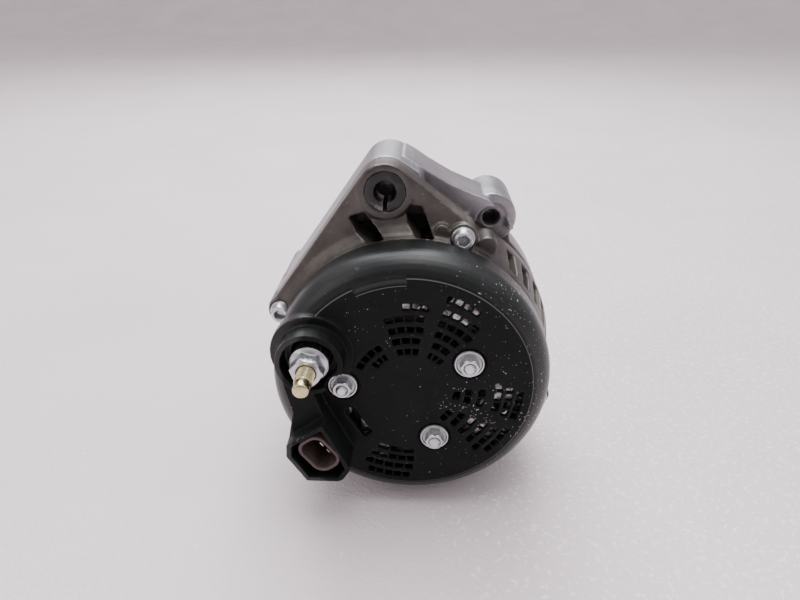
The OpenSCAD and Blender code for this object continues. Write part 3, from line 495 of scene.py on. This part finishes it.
fan_steel = finish("fan_steel", [(0.42, 0.42, 0.43), (0.3, 0.3, 0.31)], (0.28, 0.45), 0.95, 50.0, 1800.0,
                   0.02, wear_and_highlight=((0.62, 0.62, 0.62), 0.5, 500.0), dirt_and_shade=((0.08, 0.07, 0.06), 0.004, 0.6))
eased("rear_fan", 0.2, fan_steel)
eased("front_fan", 0.2, fan_steel)


# ---------------------------------------------------------------- slip rings
# Two copper rings carry the field current. They are moulded onto a brown plastic sleeve that is
# pressed on the shaft's thin end.

brown_plastic = finish("brown_plastic", [(0.07, 0.035, 0.025), (0.045, 0.022, 0.018)], (0.4, 0.55),
                       depth=0.02)
slip_copper = finish("slip_copper", [(0.62, 0.3, 0.14), (0.42, 0.2, 0.1)], (0.16, 0.36), 1.0, depth=0.008,
                     lathe=5000.0)
eased("slip_ring_sleeve", 0.15, brown_plastic)
eased("slip_rings", 0.15, slip_copper)


# ---------------------------------------------------------------- bearings
# Two sealed ball bearings carry the rotor: a small one at the slip rings, in a plastic sleeve that
# lets its outer race creep, and a larger one behind the pulley.

seal_rubber = finish("seal_rubber", [(0.018, 0.017, 0.017), (0.028, 0.026, 0.024)], (0.5, 0.68), depth=0.02)
cage_plastic = finish("cage_plastic", [(0.55, 0.4, 0.18), (0.46, 0.32, 0.14)], (0.35, 0.5), depth=0.01)
ball_steel = finish("ball_steel", [(0.62, 0.62, 0.63), (0.55, 0.55, 0.57)], (0.06, 0.12), 1.0, depth=0.001)
for end in ("rear", "front"):
    for race in ("outer", "inner"):
        eased(f"{end}_bearing_{race}", 0.25, bearing_steel)
    balls = merged(f"{end}_bearing_balls")
    shade(balls.data, 180)
    dress(balls, f"{end}_bearing_balls", ball_steel)
    eased(f"{end}_bearing_cage", 0.12, cage_plastic)
    eased(f"{end}_bearing_seals", 0.12, seal_rubber)
eased("rear_bearing_sleeve", 0.2, brown_plastic)


# ---------------------------------------------------------------- front bracket
# The drive-end bracket is die cast aluminium. It holds the front bearing, half of the stator's seat, the
# ear with its bolt bore, a side lug and two lower lugs. Cast edges are round, and its skin is satin.


def settled(piece):
    """The piece with its modifiers worked into its mesh."""
    whole = bpy.data.meshes.new_from_object(piece.evaluated_get(bpy.context.evaluated_depsgraph_get()))
    piece.modifiers.clear()
    piece.data = whole
    return piece


def cast(node, cell, rounds, faces, material):
    """A CAD node as it leaves a mould: its form rebuilt on a grid of cubes of that size in millimetres, the
    corners relaxed for that many rounds, then thinned where it is flat to that many triangles."""
    piece = merged(node)
    grid = piece.modifiers.new("grid", "REMESH")
    grid.mode = "VOXEL"
    grid.voxel_size = cell * MM
    relax = piece.modifiers.new("soft corners", "SMOOTH")
    relax.factor = 0.5
    relax.iterations = rounds
    settled(piece)
    count = sum(len(face.vertices) - 2 for face in piece.data.polygons)
    thin = piece.modifiers.new("thinned", "DECIMATE")
    thin.ratio = min(1.0, faces / count)
    settled(piece)
    shade(piece.data, 180)
    return dress(piece, node, material)


# Its deep corner darkening, reaching 11 mm, is painted shade round ribs and bosses as well as dirt.
cast_aluminium = finish("cast_aluminium", [(0.375, 0.36, 0.385), (0.25, 0.238, 0.255)], (0.3, 0.5), 0.9,
                        55.0, 1100.0, 0.07, wear_and_highlight=((0.62, 0.61, 0.62), 0.6, 350.0),
                        dirt_and_shade=((0.045, 0.036, 0.03), 0.011, 0.95),
                        dust=((0.5, 0.47, 0.44), 0.1, 0.3, 900.0))
cast("front_bracket", 0.7, 2, 185000, cast_aluminium)


# ---------------------------------------------------------------- bearing retainer
# A flat steel ring behind the front bearing keeps it in its seat. Four screws come through the
# bracket from the pulley's side and pull the ring up against it.

SOCKET_SHARE = 0.6


def socket_screws(node, head, shank, socket, skirt=None, facing=-1):
    """Screws along Y with a round head and a hexagon socket, one in each box of the CAD node. head is the
    head's radius and height, shank and socket are radii, and skirt is an optional flange's radius and
    height, all in millimetres. The heads face towards -Y, or towards +Y where facing is 1."""
    screws = []
    boxes = islands(node)
    for centre, start, end in zip(middles(boxes), boxes[:, 0, 1], boxes[:, 1, 1]):
        tip, top = (start, end) if facing > 0 else (end, start)
        seat = top - facing * head[1] * MM
        socket_end = top - facing * SOCKET_SHARE * head[1] * MM
        rows = [(0, None, tip), (0.8 * shank * MM, None, tip), (shank * MM, None, tip + facing * 0.5 * MM),
                (shank * MM, None, seat)]
        if skirt:
            rows += [(skirt[0] * MM, None, seat),
                     (skirt[0] * MM, None, seat + facing * (skirt[1] - 0.3) * MM),
                     ((skirt[0] - 0.4) * MM, None, seat + facing * skirt[1] * MM)]
        else:
            rows += [(head[0] * MM, None, seat)]
        rows += [(head[0] * MM, None, top - facing * 0.5 * MM), ((head[0] - 0.5) * MM, None, top),
                 (1.2 * socket * MM, None, top), (1.2 * socket * MM, socket * MM, top - facing * 0.25 * MM),
                 (1.2 * socket * MM, socket * MM, socket_end), (0, None, socket_end - facing * 0.3 * MM)]
        screws.append(screw_skin(node + "_piece", [centre], rows, sides=48, turn=0.3))
    return dress(break_edges(joined(screws), 0.12), node, zinc_steel)


zinc_steel = finish("zinc_steel", [(0.62, 0.63, 0.66), (0.47, 0.48, 0.5)], (0.2, 0.42), 0.95, 220.0,
                    1600.0, 0.012, wear_and_highlight=((0.85, 0.85, 0.86), 0.5, 600.0),
                    dirt_and_shade=((0.12, 0.1, 0.09), 0.002, 0.7),
                    dust=((0.6, 0.58, 0.55), 0.15, 0.3, 1100.0))
eased("bearing_retainer", 0.3, zinc_steel)
socket_screws("retainer_screws", (3.2, 2.2), 2, 1.45, facing=1)


# ---------------------------------------------------------------- stator core
# Some sixty laminations of electrical steel are stacked and welded, with slots for the winding.
# The edges show as fine lines round the outside, brown where they have rusted a little.


def build_lamination_effect():
    """Line is 0 at a seam between two sheets, which lie square to the shaft, and rises to 1 across the sheet.
    Rust is 1 in patches."""
    group, given, result = effect("laminations", {"Sheets": 2000.0}, ("Line", "Rust"))
    place = put(group, "ShaderNodeTexCoord").outputs["Object"]
    along = put(group, "ShaderNodeSeparateXYZ", {0: place}).outputs["Y"]
    share = signed(group, "FRACT", signed(group, "MULTIPLY", along, given["Sheets"]))
    group.links.new(stretch(group, share, 0.0, 0.35), result["Line"])
    group.links.new(stretch(group, noise(group, place, 180.0, 5.0, 0.7), 0.45, 0.7), result["Rust"])
    return group


core_steel = finish("core_steel", [(0.26, 0.25, 0.24), (0.17, 0.16, 0.155)], (0.4, 0.6), 0.8, 120.0,
                    1500.0, 0.03, dirt_and_shade=((0.05, 0.04, 0.03), 0.004, 0.6))
core_tree = core_steel.node_tree
core_shader = core_tree.nodes["Principled BSDF"]
sheets = put(core_tree, "ShaderNodeGroup", node_tree=build_lamination_effect())
plain_steel = core_shader.inputs["Base Color"].links[0].from_socket
rust_brown, seam_black = (0.16, 0.075, 0.035, 1), (0.03, 0.025, 0.02, 1)
rusty = blend(core_tree, sheets.outputs["Rust"], plain_steel, rust_brown)
lined_steel = blend(core_tree, sheets.outputs["Line"], seam_black, rusty)
core_tree.links.new(lined_steel, core_shader.inputs["Base Color"])
relief = core_shader.inputs["Normal"].links[0].from_node
core_tree.links.new(sheets.outputs["Line"], relief.inputs["Height"])
relief.inputs["Distance"].default_value = 0.1 * MM
eased("stator_core", 0.15, core_steel)


# ---------------------------------------------------------------- stator winding
# Enamelled copper wires lie in the 36 slots. At both ends each bundle arches over to the slot three
# places on, in layers, and the whole is dipped in varnish.

SLOTS = 36
SPAN = 3
STRANDS = 5
STRAND_PITCH = 1.55 * MM
LAYER_STEP = 0.5 * MM
SLOT_BOTTOM = 50.9 * MM
IN_SLOT = 15 * MM
wire_r = 0.62 * MM
core_low, core_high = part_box("stator_core")
ends_low, ends_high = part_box("stator_winding")
overhang = ends_high.y - core_high.y
slot_middle = 0.5 * (ends_high.x + SLOT_BOTTOM)


def round_wires(paths, radius, sides=6):
    """Round wires along paths, an array of wires by points by 3, closed by a point at each end. Each ring
    lies square to the path, turned from the direction of the path crossed with the radial direction."""
    ahead = np.gradient(paths, axis=1)
    ahead /= np.linalg.norm(ahead, axis=2, keepdims=True)
    outward = paths * np.array([1, 0, 1])
    outward /= np.linalg.norm(outward, axis=2, keepdims=True)
    side = np.cross(ahead, outward)
    side /= np.linalg.norm(side, axis=2, keepdims=True)
    up = np.cross(side, ahead)
    angle = np.arange(sides) * 2 * np.pi / sides
    swell = np.ones(paths.shape[1]) * radius
    swell[[0, -1]] = 0
    ring = (np.cos(angle)[:, None] * side[:, :, None, :] + np.sin(angle)[:, None] * up[:, :, None, :])
    return paths[:, :, None, :] + ring * swell[None, :, None, None]


def tube_mesh(name, rings):
    """One object from many closed tubes, an array of tubes by rings by sides by 3."""
    tubes, count, sides = rings.shape[:3]
    base = (np.arange(tubes) * count * sides)[:, None, None]
    row = (np.arange(count - 1) * sides)[None, :, None]
    side = np.arange(sides)[None, None, :]
    beside = (side + 1) % sides
    near, far = base + row, base + row + sides
    piece = closed_skin(name, rings, np.stack([near + side, near + beside, far + beside, far + side], -1))
    shade(piece.data, 180)
    return piece


def end_turns():
    """Paths of all wires. A wire runs through its slot, then its angle goes from that slot to the slot SPAN
    places on as a smooth step, while its height over the core rises and falls as half a sine to the power
    0.6. The three phases lie in layers, each further from the shaft and higher than the one before."""
    t = np.linspace(0, 1, 17)
    smooth = t * t * (3 - 2 * t)
    arch = np.sin(np.pi * t) ** 0.6
    made = []
    for end, face in ((-1, core_low.y), (1, core_high.y)):
        for slot_number in range(SLOTS):
            phase = slot_number % SPAN
            for strand in range(STRANDS):
                reach = slot_middle + (strand - (STRANDS - 1) / 2) * STRAND_PITCH
                lean = (phase - 1) * LAYER_STEP
                radius = reach + lean * arch
                height = (0.55 + 0.17 * phase) * (overhang - 1.2 * MM) + 0.25 * MM * (strand % 2)
                start = 2 * np.pi * slot_number / SLOTS + 0.006 * (strand % 2 - 0.5)
                angle = start + 2 * np.pi * SPAN / SLOTS * smooth
                along = face + end * height * arch
                path = np.stack([radius * np.cos(angle), along, radius * np.sin(angle)], -1)
                inner = np.stack([path[0], path[-1]]) - np.array([0, end * IN_SLOT, 0])
                made.append(np.concatenate([inner[:1], path, inner[1:]]))
    return np.array(made)


winding = tube_mesh("stator_winding_piece", round_wires(end_turns(), wire_r))
dress(winding, "stator_winding", copper)


# ---------------------------------------------------------------- rear bracket
# The slip-ring-end bracket is die cast aluminium like the front one. It carries the rear bearing, the other
# half of the ear, and slanted windows that let the cooling air out. Its finish is the front bracket's metal
# painted much darker and browner, as painted shade on the ear's face.

# A darker, browner copy of the cast aluminium in the same slot: painted shade. Its corner darkening is
# painted shade with dirt, and its heavier tan dust film on what faces up is dust and painted reflection.
shaded_rear_aluminium = finish("shaded_rear_aluminium", [(0.1, 0.09, 0.086), (0.064, 0.057, 0.054)], (0.3, 0.5), 0.9,
                        60.0, 1100.0, 0.07, wear_and_highlight=((0.5, 0.46, 0.42), 0.6, 350.0),
                        dirt_and_shade=((0.03, 0.024, 0.02), 0.011, 0.95),
                        dust=((0.42, 0.36, 0.28), 0.35, 0.3, 900.0))
shaded_rear_aluminium["slot"] = "cast_aluminium"
cast("rear_bracket", 0.6, 2, 185000, shaded_rear_aluminium)


# ---------------------------------------------------------------- ear bush
# A split steel bush sits in the rear ear. It is black phosphated, rolled from strip, and it slides
# out until it meets the engine's bracket when the mounting bolt is pulled tight.

black_steel = finish("black_steel", [(0.012, 0.012, 0.013), (0.022, 0.021, 0.021)], (0.25, 0.42), 0.4,
                     200.0, 1500.0, 0.02, wear_and_highlight=((0.35, 0.34, 0.33), 0.6, 500.0),
                     dust=((0.5, 0.48, 0.45), 0.1, 0.3, 1000.0))
eased("ear_bush", 0.5, black_steel, 3)


# ---------------------------------------------------------------- through bolts
# Four long steel screws clamp the two brackets on the stator. They are zinc plated, with a flanged
# head that stands in a spot face on the rear bracket.

socket_screws("through_bolts", (4.3, 5), 2.5, 2.3, (5.3, 1.4))


# ---------------------------------------------------------------- rectifier
# Two aluminium plates carry the diodes: the rear one is joined to the battery stud, the front one to
# the bracket. A moulded frame between them holds the copper links to the winding.

bright_aluminium = finish("bright_aluminium", [(0.74, 0.74, 0.75), (0.6, 0.6, 0.61)], (0.2, 0.4), 0.95,
                          80.0, 1400.0, 0.02, wear_and_highlight=((0.9, 0.9, 0.9), 0.4, 500.0),
                          dirt_and_shade=((0.15, 0.13, 0.12), 0.003, 0.6),
                          dust=((0.6, 0.58, 0.55), 0.25, 0.3, 900.0))
tin_copper = finish("tin_copper", [(0.58, 0.55, 0.5), (0.46, 0.42, 0.36)], (0.2, 0.38), 0.95, 250.0,
                    1500.0, 0.01, dirt_and_shade=((0.1, 0.07, 0.05), 0.002, 0.5))
eased("negative_plate", 0.3, bright_aluminium)
eased("positive_plate", 0.25, bright_aluminium)
eased("negative_diodes", 0.25, tin_copper)
eased("positive_diodes", 0.25, tin_copper)
eased("terminal_ring", 0.25, brown_plastic)
socket_screws("rectifier_screws", (3.4, 2.4), 2, 1.45)


# ---------------------------------------------------------------- regulator
# The voltage regulator is potted in a black plastic case with a finned cooling plate, and is held
# to the rear bracket by three screws.

dark_plastic = finish("dark_plastic", [(0.016, 0.013, 0.012), (0.026, 0.02, 0.018)], (0.34, 0.5), 0.0,
                      90.0, 1200.0, 0.03, dust=((0.35, 0.32, 0.3), 0.2, 0.35, 900.0))
eased("regulator_body", 0.5, dark_plastic)
eased("regulator_plate", 0.2, bright_aluminium)
socket_screws("regulator_screws", (3.4, 2.2), 2, 1.45)


# ---------------------------------------------------------------- connector
# An oval plastic shell stands out of the regulator through the cover's guard. Three flat tinned pins
# inside it meet the wiring plug.

socket_brown = finish("socket_brown", [(0.05, 0.026, 0.02), (0.035, 0.02, 0.016)], (0.3, 0.46), 0.0,
                      110.0, 1000.0, 0.03, dust=((0.45, 0.38, 0.33), 0.25, 0.3, 900.0))
eased("connector_shell", 0.45, socket_brown, 3)
eased("connector_pins", 0.12, tin_copper)


# ---------------------------------------------------------------- brushes
# Two graphite brushes slide in the holder's guides. A light steel spring behind each one keeps it on
# its slip ring as it wears.

carbon = finish("carbon", [(0.035, 0.034, 0.036), (0.06, 0.055, 0.05)], (0.45, 0.7), 0.2, 300.0, 2200.0, 0.03)
spring_steel = finish("spring_steel", [(0.6, 0.6, 0.62), (0.5, 0.5, 0.52)], (0.15, 0.28), 1.0, depth=0.003)
eased("brush_holder", 0.3, brown_plastic)

COILS = 8
FLAT_TURN = 0.9
WIRE_R = 0.28 * MM
STEPS = 26


def coil_path(node):
    """A helix inside the CAD spring's box: its angle grows evenly, and so does its height, except for
    one flat turn at each end, as a ground compression spring has."""
    low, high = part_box(node)
    middle, radius = (low + high) / 2, (high.x - low.x) / 2 - WIRE_R
    t = np.linspace(0, 1, COILS * STEPS + 1)
    rise = np.clip((t * COILS - FLAT_TURN) / (COILS - 2 * FLAT_TURN), 0, 1)
    height = low.z + WIRE_R + rise * (high.z - low.z - 2 * WIRE_R)
    angle = 2 * np.pi * COILS * t
    return np.stack([middle.x + radius * np.cos(angle), middle.y + radius * np.sin(angle), height], -1)


def spring_rings(path, centre_y):
    """Circles of the wire's radius round the path. One direction points away from the spring's own
    upright axis, and the other is square to it and to the path."""
    ahead = np.gradient(path, axis=0)
    ahead /= np.linalg.norm(ahead, axis=1, keepdims=True)
    away = (path - np.array([0, centre_y, 0])) * np.array([1, 1, 0])
    away /= np.linalg.norm(away, axis=1, keepdims=True)
    up = np.cross(ahead, away)
    angle = np.arange(8) * 2 * np.pi / 8
    ring = np.cos(angle)[None, :, None] * away[:, None] + np.sin(angle)[None, :, None] * up[:, None]
    swell = np.ones(len(path)) * WIRE_R
    swell[[0, -1]] = 0
    return path[:, None] + ring * swell[:, None, None]


for side_name in ("rear", "front"):
    eased(f"brush_{side_name}", 0.25, carbon)
    spring_node = f"brush_spring_{side_name}"
    spring_low, spring_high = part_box(spring_node)
    rings = spring_rings(coil_path(spring_node), (spring_low.y + spring_high.y) / 2)
    spring = tube_mesh(spring_node + "_piece", rings[None])
    dress(spring, spring_node, spring_steel)
    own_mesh(spring)


# ---------------------------------------------------------------- battery post
# The output stud is an M8 screw with a smooth pilot tip, zinc plated and passivated yellow. It comes up
# from the positive plate through a tinned spacer ring, and a flange nut clamps it.

# The dark in the thread's grooves, from the corner darkening, is painted shade that gives the thread its
# contrast.
yellow_zinc = finish("yellow_zinc", [(0.62, 0.52, 0.27), (0.5, 0.44, 0.27)], (0.16, 0.34), 1.0, 260.0,
                     1500.0, 0.01, wear_and_highlight=((0.72, 0.68, 0.52), 0.6, 500.0),
                     dirt_and_shade=((0.06, 0.035, 0.015), 0.0008, 1.0))
stud_low, stud_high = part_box("battery_stud")
post = middles([(stud_low, stud_high)])
tip, root = stud_low.y, stud_high.y
post_r, dog_r, flange_r = 4 * MM, 3.45 * MM, (stud_high.x - stud_low.x) / 2
dog_end, thread_end = tip + 5 * MM, tip + 30 * MM
stud = screw_skin("battery_stud_piece", post, [
    (0, None, tip), (dog_r - 0.6 * MM, None, tip), (dog_r - 0.15 * MM, None, tip + 0.35 * MM),
    (dog_r, None, tip + 0.8 * MM), (dog_r, None, dog_end), (dog_r - 0.1 * MM, None, dog_end + 0.4 * MM),
    (post_r - 0.02 * MM, None, dog_end + 1 * MM), (post_r - 0.02 * MM, None, thread_end),
    (post_r - 0.1 * MM, None, thread_end + 0.2 * MM), (post_r - 0.1 * MM, None, root - 3 * MM),
    (flange_r, None, root - 3 * MM), (flange_r, None, root), (0, None, root),
], thread=(1.25 * MM, 0.68 * MM, dog_end + 0.6 * MM, thread_end), sides=96)
dress(stud, "battery_stud", yellow_zinc)

nut_low, nut_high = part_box("battery_nut")
nut_bore, nut_flats, nut_corner = 4.05 * MM, 6.5 * MM, 7.45 * MM
nut_flange = (nut_high.x - nut_low.x) / 2
nut = screw_skin("battery_nut_piece", post, [
    (nut_bore, None, nut_low.y + 0.5 * MM), (nut_bore + 0.55 * MM, None, nut_low.y),
    (nut_flats - 0.2 * MM, None, nut_low.y), (nut_corner, nut_flats, nut_low.y + 0.75 * MM),
    (nut_corner, nut_flats, nut_high.y - 2.4 * MM), (nut_flats + 0.9 * MM, None, nut_high.y - 2.1 * MM),
    (nut_flange - 0.25 * MM, None, nut_high.y - 1.25 * MM), (nut_flange, None, nut_high.y - 0.95 * MM),
    (nut_flange, None, nut_high.y - 0.3 * MM), (nut_flange - 0.3 * MM, None, nut_high.y),
    (nut_bore + 0.5 * MM, None, nut_high.y), (nut_bore, None, nut_high.y - 0.5 * MM),
], sides=96, wrap=True, turn=0.35)
break_edges(nut, 0.15)
dress(nut, "battery_nut", zinc_steel)
eased("battery_spacer", 0.3, tin_copper)


# ---------------------------------------------------------------- rear cover
# The cover is one moulding of black glass-filled nylon, with a round shoulder, rows of vent slots, a shroud
# round the battery post and a guard round the connector. Its skin is matt, with pale scuffs that are partly
# painted highlights on its sharp edges, and a painted highlight runs along the edge of its face.


def build_edge_effect():
    """The edge where the flat face turns into the shoulder, at a given distance from the shaft. Between two
    angles it lies further in. Line is 1 on a thin band at that distance, where Y is above the level: the band
    of a painted highlight along the edge. Shoulder rises to 0.6 just outside it."""
    given_values = {
        "Distance": 0.056, "Step in": 0.0032, "First angle": 1.606, "Last angle": 2.033, "Level": -0.1168,
    }
    group, given, result = effect("face_edge", given_values, ("Line", "Shoulder"))
    where = put(group, "ShaderNodeSeparateXYZ", {0: put(group, "ShaderNodeTexCoord").outputs["Object"]})
    x, z = where.outputs["X"], where.outputs["Z"]
    flat = put(group, "ShaderNodeCombineXYZ", {0: x, 2: z}).outputs[0]
    away = put(group, "ShaderNodeVectorMath", {0: flat}, operation="LENGTH").outputs["Value"]
    angle = signed(group, "ARCTAN2", z, x)
    inside = sums(group, "MULTIPLY", sums(group, "GREATER_THAN", angle, given["First angle"]),
                  sums(group, "LESS_THAN", angle, given["Last angle"]))
    edge = sums(group, "SUBTRACT", given["Distance"], sums(group, "MULTIPLY", inside, given["Step in"]))
    beyond = signed(group, "SUBTRACT", away, edge)
    off = signed(group, "ABSOLUTE", beyond)
    level = sums(group, "GREATER_THAN", where.outputs["Y"], given["Level"])
    line = sums(group, "SUBTRACT", 1.0, stretch(group, off, 0.00008, 0.00028))
    group.links.new(sums(group, "MULTIPLY", line, level), result["Line"])
    group.links.new(sums(group, "MULTIPLY", stretch(group, beyond, 0.0, 0.002), 0.6), result["Shoulder"])
    return group


# The cover's pale edge wear is partly a painted highlight along its sharp edges and the edge of its face.
black_plastic = finish("black_plastic", [(0.0035, 0.0045, 0.0042), (0.007, 0.008, 0.0076)], (0.4, 0.56),
                       0.0, 40.0, 1700.0, 0.03, wear_and_highlight=((0.07, 0.073, 0.077), 0.6, 220.0),
                       dust=((0.4, 0.4, 0.39), 0.03, 0.8, 900.0, 0.5), specular=0.1)
cover_tree = black_plastic.node_tree
cover_shader = cover_tree.nodes["Principled BSDF"]
face_edge = put(cover_tree, "ShaderNodeGroup", node_tree=build_edge_effect())
plain_black = cover_shader.inputs["Base Color"].links[0].from_socket
# A pale grey along the edge of the face: a painted highlight where the edge would catch the light.
edge_highlight_grey = (0.09, 0.092, 0.096, 1)
highlighted_black = blend(cover_tree, face_edge.outputs["Line"], plain_black, edge_highlight_grey)
cover_tree.links.new(highlighted_black, cover_shader.inputs["Base Color"])
cover_tree.links.new(face_edge.outputs["Shoulder"], cover_shader.inputs["Coat Weight"])
cast("rear_cover", 0.45, 1, 195000, black_plastic)


# ---------------------------------------------------------------- cover studs
# Three M5 studs with a hexagon collar are screwed into the rear bracket, and carry the cover. Their
# nuts have a wide flange that presses on the plastic.

stud_boxes = islands("cover_studs")
stud_start, stud_end = stud_boxes[0, 0, 1], stud_boxes[0, 1, 1]
hex_start, hex_end = stud_start + 13.9 * MM, stud_start + 27.3 * MM
hex_corner = (stud_boxes[0, 1, 0] - stud_boxes[0, 0, 0]) / 2
hex_flats = hex_corner * 0.866
m5 = 2.5 * MM
shank_r = m5 - 0.02 * MM
studs = screw_skin("cover_studs_piece", middles(stud_boxes), [
    (0, None, stud_start), (m5 - 0.7 * MM, None, stud_start), (shank_r, None, stud_start + 0.6 * MM),
    (shank_r, None, hex_start), (hex_corner * 0.9, None, hex_start),
    (hex_corner, hex_flats, hex_start + 0.4 * MM), (hex_corner, hex_flats, hex_end - 0.4 * MM),
    (hex_corner * 0.9, None, hex_end), (shank_r, None, hex_end), (shank_r, None, stud_end - 0.5 * MM),
    (m5 - 0.6 * MM, None, stud_end), (0, None, stud_end),
], thread=(0.8 * MM, 0.45 * MM, stud_start + 0.3 * MM, hex_start), sides=72)
dress(studs, "cover_studs", zinc_steel)

nut_boxes = islands("cover_nuts")
back, seat_y = nut_boxes[0, 0, 1], nut_boxes[0, 1, 1]
flange = (nut_boxes[0, 1, 0] - nut_boxes[0, 0, 0]) / 2
flats = 4 * MM
nut_hole = m5 + 0.04 * MM
cover_nuts = screw_skin("cover_nuts_piece", middles(nut_boxes), [
    (nut_hole, None, back + 0.35 * MM), (m5 + 0.4 * MM, None, back), (flats - 0.1 * MM, None, back),
    (flats * 1.15, flats, back + 0.5 * MM), (flats * 1.15, flats, seat_y - 0.75 * MM),
    (flats * 1.22, None, seat_y - 0.6 * MM), (flange - 1.1 * MM, None, seat_y - 0.7 * MM),
    (flange - 0.6 * MM, None, seat_y - 1.6 * MM), (flange - 0.1 * MM, None, seat_y - 1.6 * MM),
    (flange, None, seat_y - 1.4 * MM), (flange, None, seat_y - 0.2 * MM),
    (flange - 0.2 * MM, None, seat_y), (nut_hole, None, seat_y),
], sides=72, wrap=True, turn=0.5)
break_edges(cover_nuts, 0.1)
dress(cover_nuts, "cover_nuts", zinc_steel)


# ---------------------------------------------------------------- pulley
# The ribbed belt pulley is turned from steel and pressed against a spacer collar on the bearing. One
# large nut holds it, and its skin is a thin grey coating worn bright on the ribs.

pulley_steel = finish("pulley_steel", [(0.3, 0.3, 0.32), (0.22, 0.22, 0.235)], (0.25, 0.42), 0.9, 60.0,
                      1500.0, 0.012, wear_and_highlight=((0.6, 0.6, 0.61), 0.7, 300.0),
                      dirt_and_shade=((0.05, 0.045, 0.04), 0.003, 0.6),
                      lathe=3000.0)
eased("pulley_spacer", 0.3, bearing_steel)
eased("pulley", 0.2, pulley_steel)
big_low, big_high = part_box("pulley_nut")
big_flats, big_corner, big_hole = 12 * MM, (big_high.x - big_low.x) / 2, 8.05 * MM
big_nut = screw_skin("pulley_nut_piece", [(0, 0)], [
    (big_hole, None, big_low.y + 0.6 * MM), (8.6 * MM, None, big_low.y), (big_flats, None, big_low.y),
    (big_corner, big_flats, big_low.y + 0.4 * MM), (big_corner, big_flats, big_high.y - 1.1 * MM),
    (big_flats - 0.1 * MM, None, big_high.y), (8.7 * MM, None, big_high.y),
    (big_hole, None, big_high.y - 0.7 * MM),
], sides=96, wrap=True)
break_edges(big_nut, 0.2)
dress(big_nut, "pulley_nut", zinc_steel)


# ---------------------------------------------------------------- floor
# The alternator lies on a pale, slightly speckled studio surface. It is one sheet that sweeps up behind
# the bench, so that no edge shows.


def backdrop():
    """A sheet along X whose section is flat, then a quarter circle, then upright."""
    rest_z = cad_box[0][2]
    width, near, far, bend, top = 9.0, -6.0, 3.0, 1.5, 6.0
    turn = np.linspace(0, np.pi / 2, 24)
    section = [(near, 0.0), *zip(far + bend * np.sin(turn), bend - bend * np.cos(turn)), (far + bend, top)]
    edges = np.array([[(x, y, z + rest_z) for y, z in section] for x in (-width, width)])
    count = len(section)
    strips = [(k, count + k, count + k + 1, k + 1) for k in range(count - 1)]
    mesh = bpy.data.meshes.new("floor")
    mesh.from_pydata(edges.reshape(-1, 3).tolist(), [], strips)
    shade(mesh, 180)
    return placed("floor", mesh)


floor = backdrop()
pale = finish("studio_floor", [(0.88, 0.765, 0.785), (0.8, 0.695, 0.71)], (0.4, 0.6), 0.0, 5.0, 500.0, 0.4,
              dust=((1.0, 0.97, 0.97), 0.0, 0.8, 380.0, 1.3))
floor.data.materials.append(pale)


# ---------------------------------------------------------------- light
# Soft daylight comes from a large window high behind the bench, with a weaker fill from the left and
# pale surroundings.


def soft_light(name, place, aim, size, power, colour):
    """A square area light of that size at place, turned to face aim."""
    lamp = bpy.data.lights.new(name, "AREA")
    lamp.size, lamp.energy, lamp.color = size, power, colour
    holder = bpy.data.objects.new(name, lamp)
    holder.location = place
    holder.rotation_euler = (Vector(aim) - Vector(place)).to_track_quat("-Z", "Y").to_euler()
    bpy.context.scene.collection.objects.link(holder)


# Powers are in watts, and sizes and places in metres
middle = (Vector(cad_box[0]) + Vector(cad_box[1])) / 2
soft_light("window", (-0.2, 1.0, 1.3), middle, 1.2, 36, (0.9, 0.95, 1.0))
soft_light("overhead", (0.1, 0.0, 1.7), middle, 1.2, 22, (1.0, 0.98, 0.97))
soft_light("left fill", (-1.4, -0.8, 0.7), middle, 0.8, 4, (1.0, 0.96, 0.92))
world = bpy.data.worlds.new("surroundings")
world.use_nodes = True
sky = world.node_tree
window_side, dark_corner, bright_sky = (0.1, 0.62, 0.75), (0.16, 0.14, 0.13, 1), (0.92, 0.93, 1.0, 1)
looking = put(sky, "ShaderNodeTexCoord").outputs["Object"]
toward = put(sky, "ShaderNodeVectorMath", {0: looking, 1: window_side}, operation="DOT_PRODUCT")
share = stretch(sky, toward.outputs["Value"], -0.45, 0.75)
sky.links.new(blend(sky, share, dark_corner, bright_sky), sky.nodes["Background"].inputs["Color"])
sky.nodes["Background"].inputs["Strength"].default_value = 1.35
bpy.context.scene.world = world


# ---------------------------------------------------------------- camera
# The view is from behind the slip-ring end, above the shaft and almost in line with it.

LEAN = math.radians(27.2)
SIDEWAYS = math.radians(2.3)
camera = bpy.data.cameras.new("camera")
camera.lens, camera.sensor_width = 27.2, 36.0
camera.clip_start, camera.clip_end = 0.01, 50.0
eye = bpy.data.objects.new("camera", camera)
eye.location = (4.5 * MM, -344 * MM, 163.5 * MM)
ahead = Vector((-math.sin(SIDEWAYS) * math.cos(LEAN), math.cos(SIDEWAYS) * math.cos(LEAN), -math.sin(LEAN)))
eye.rotation_euler = ahead.to_track_quat("-Z", "Y").to_euler()
bpy.context.scene.collection.objects.link(eye)
bpy.context.scene.camera = eye
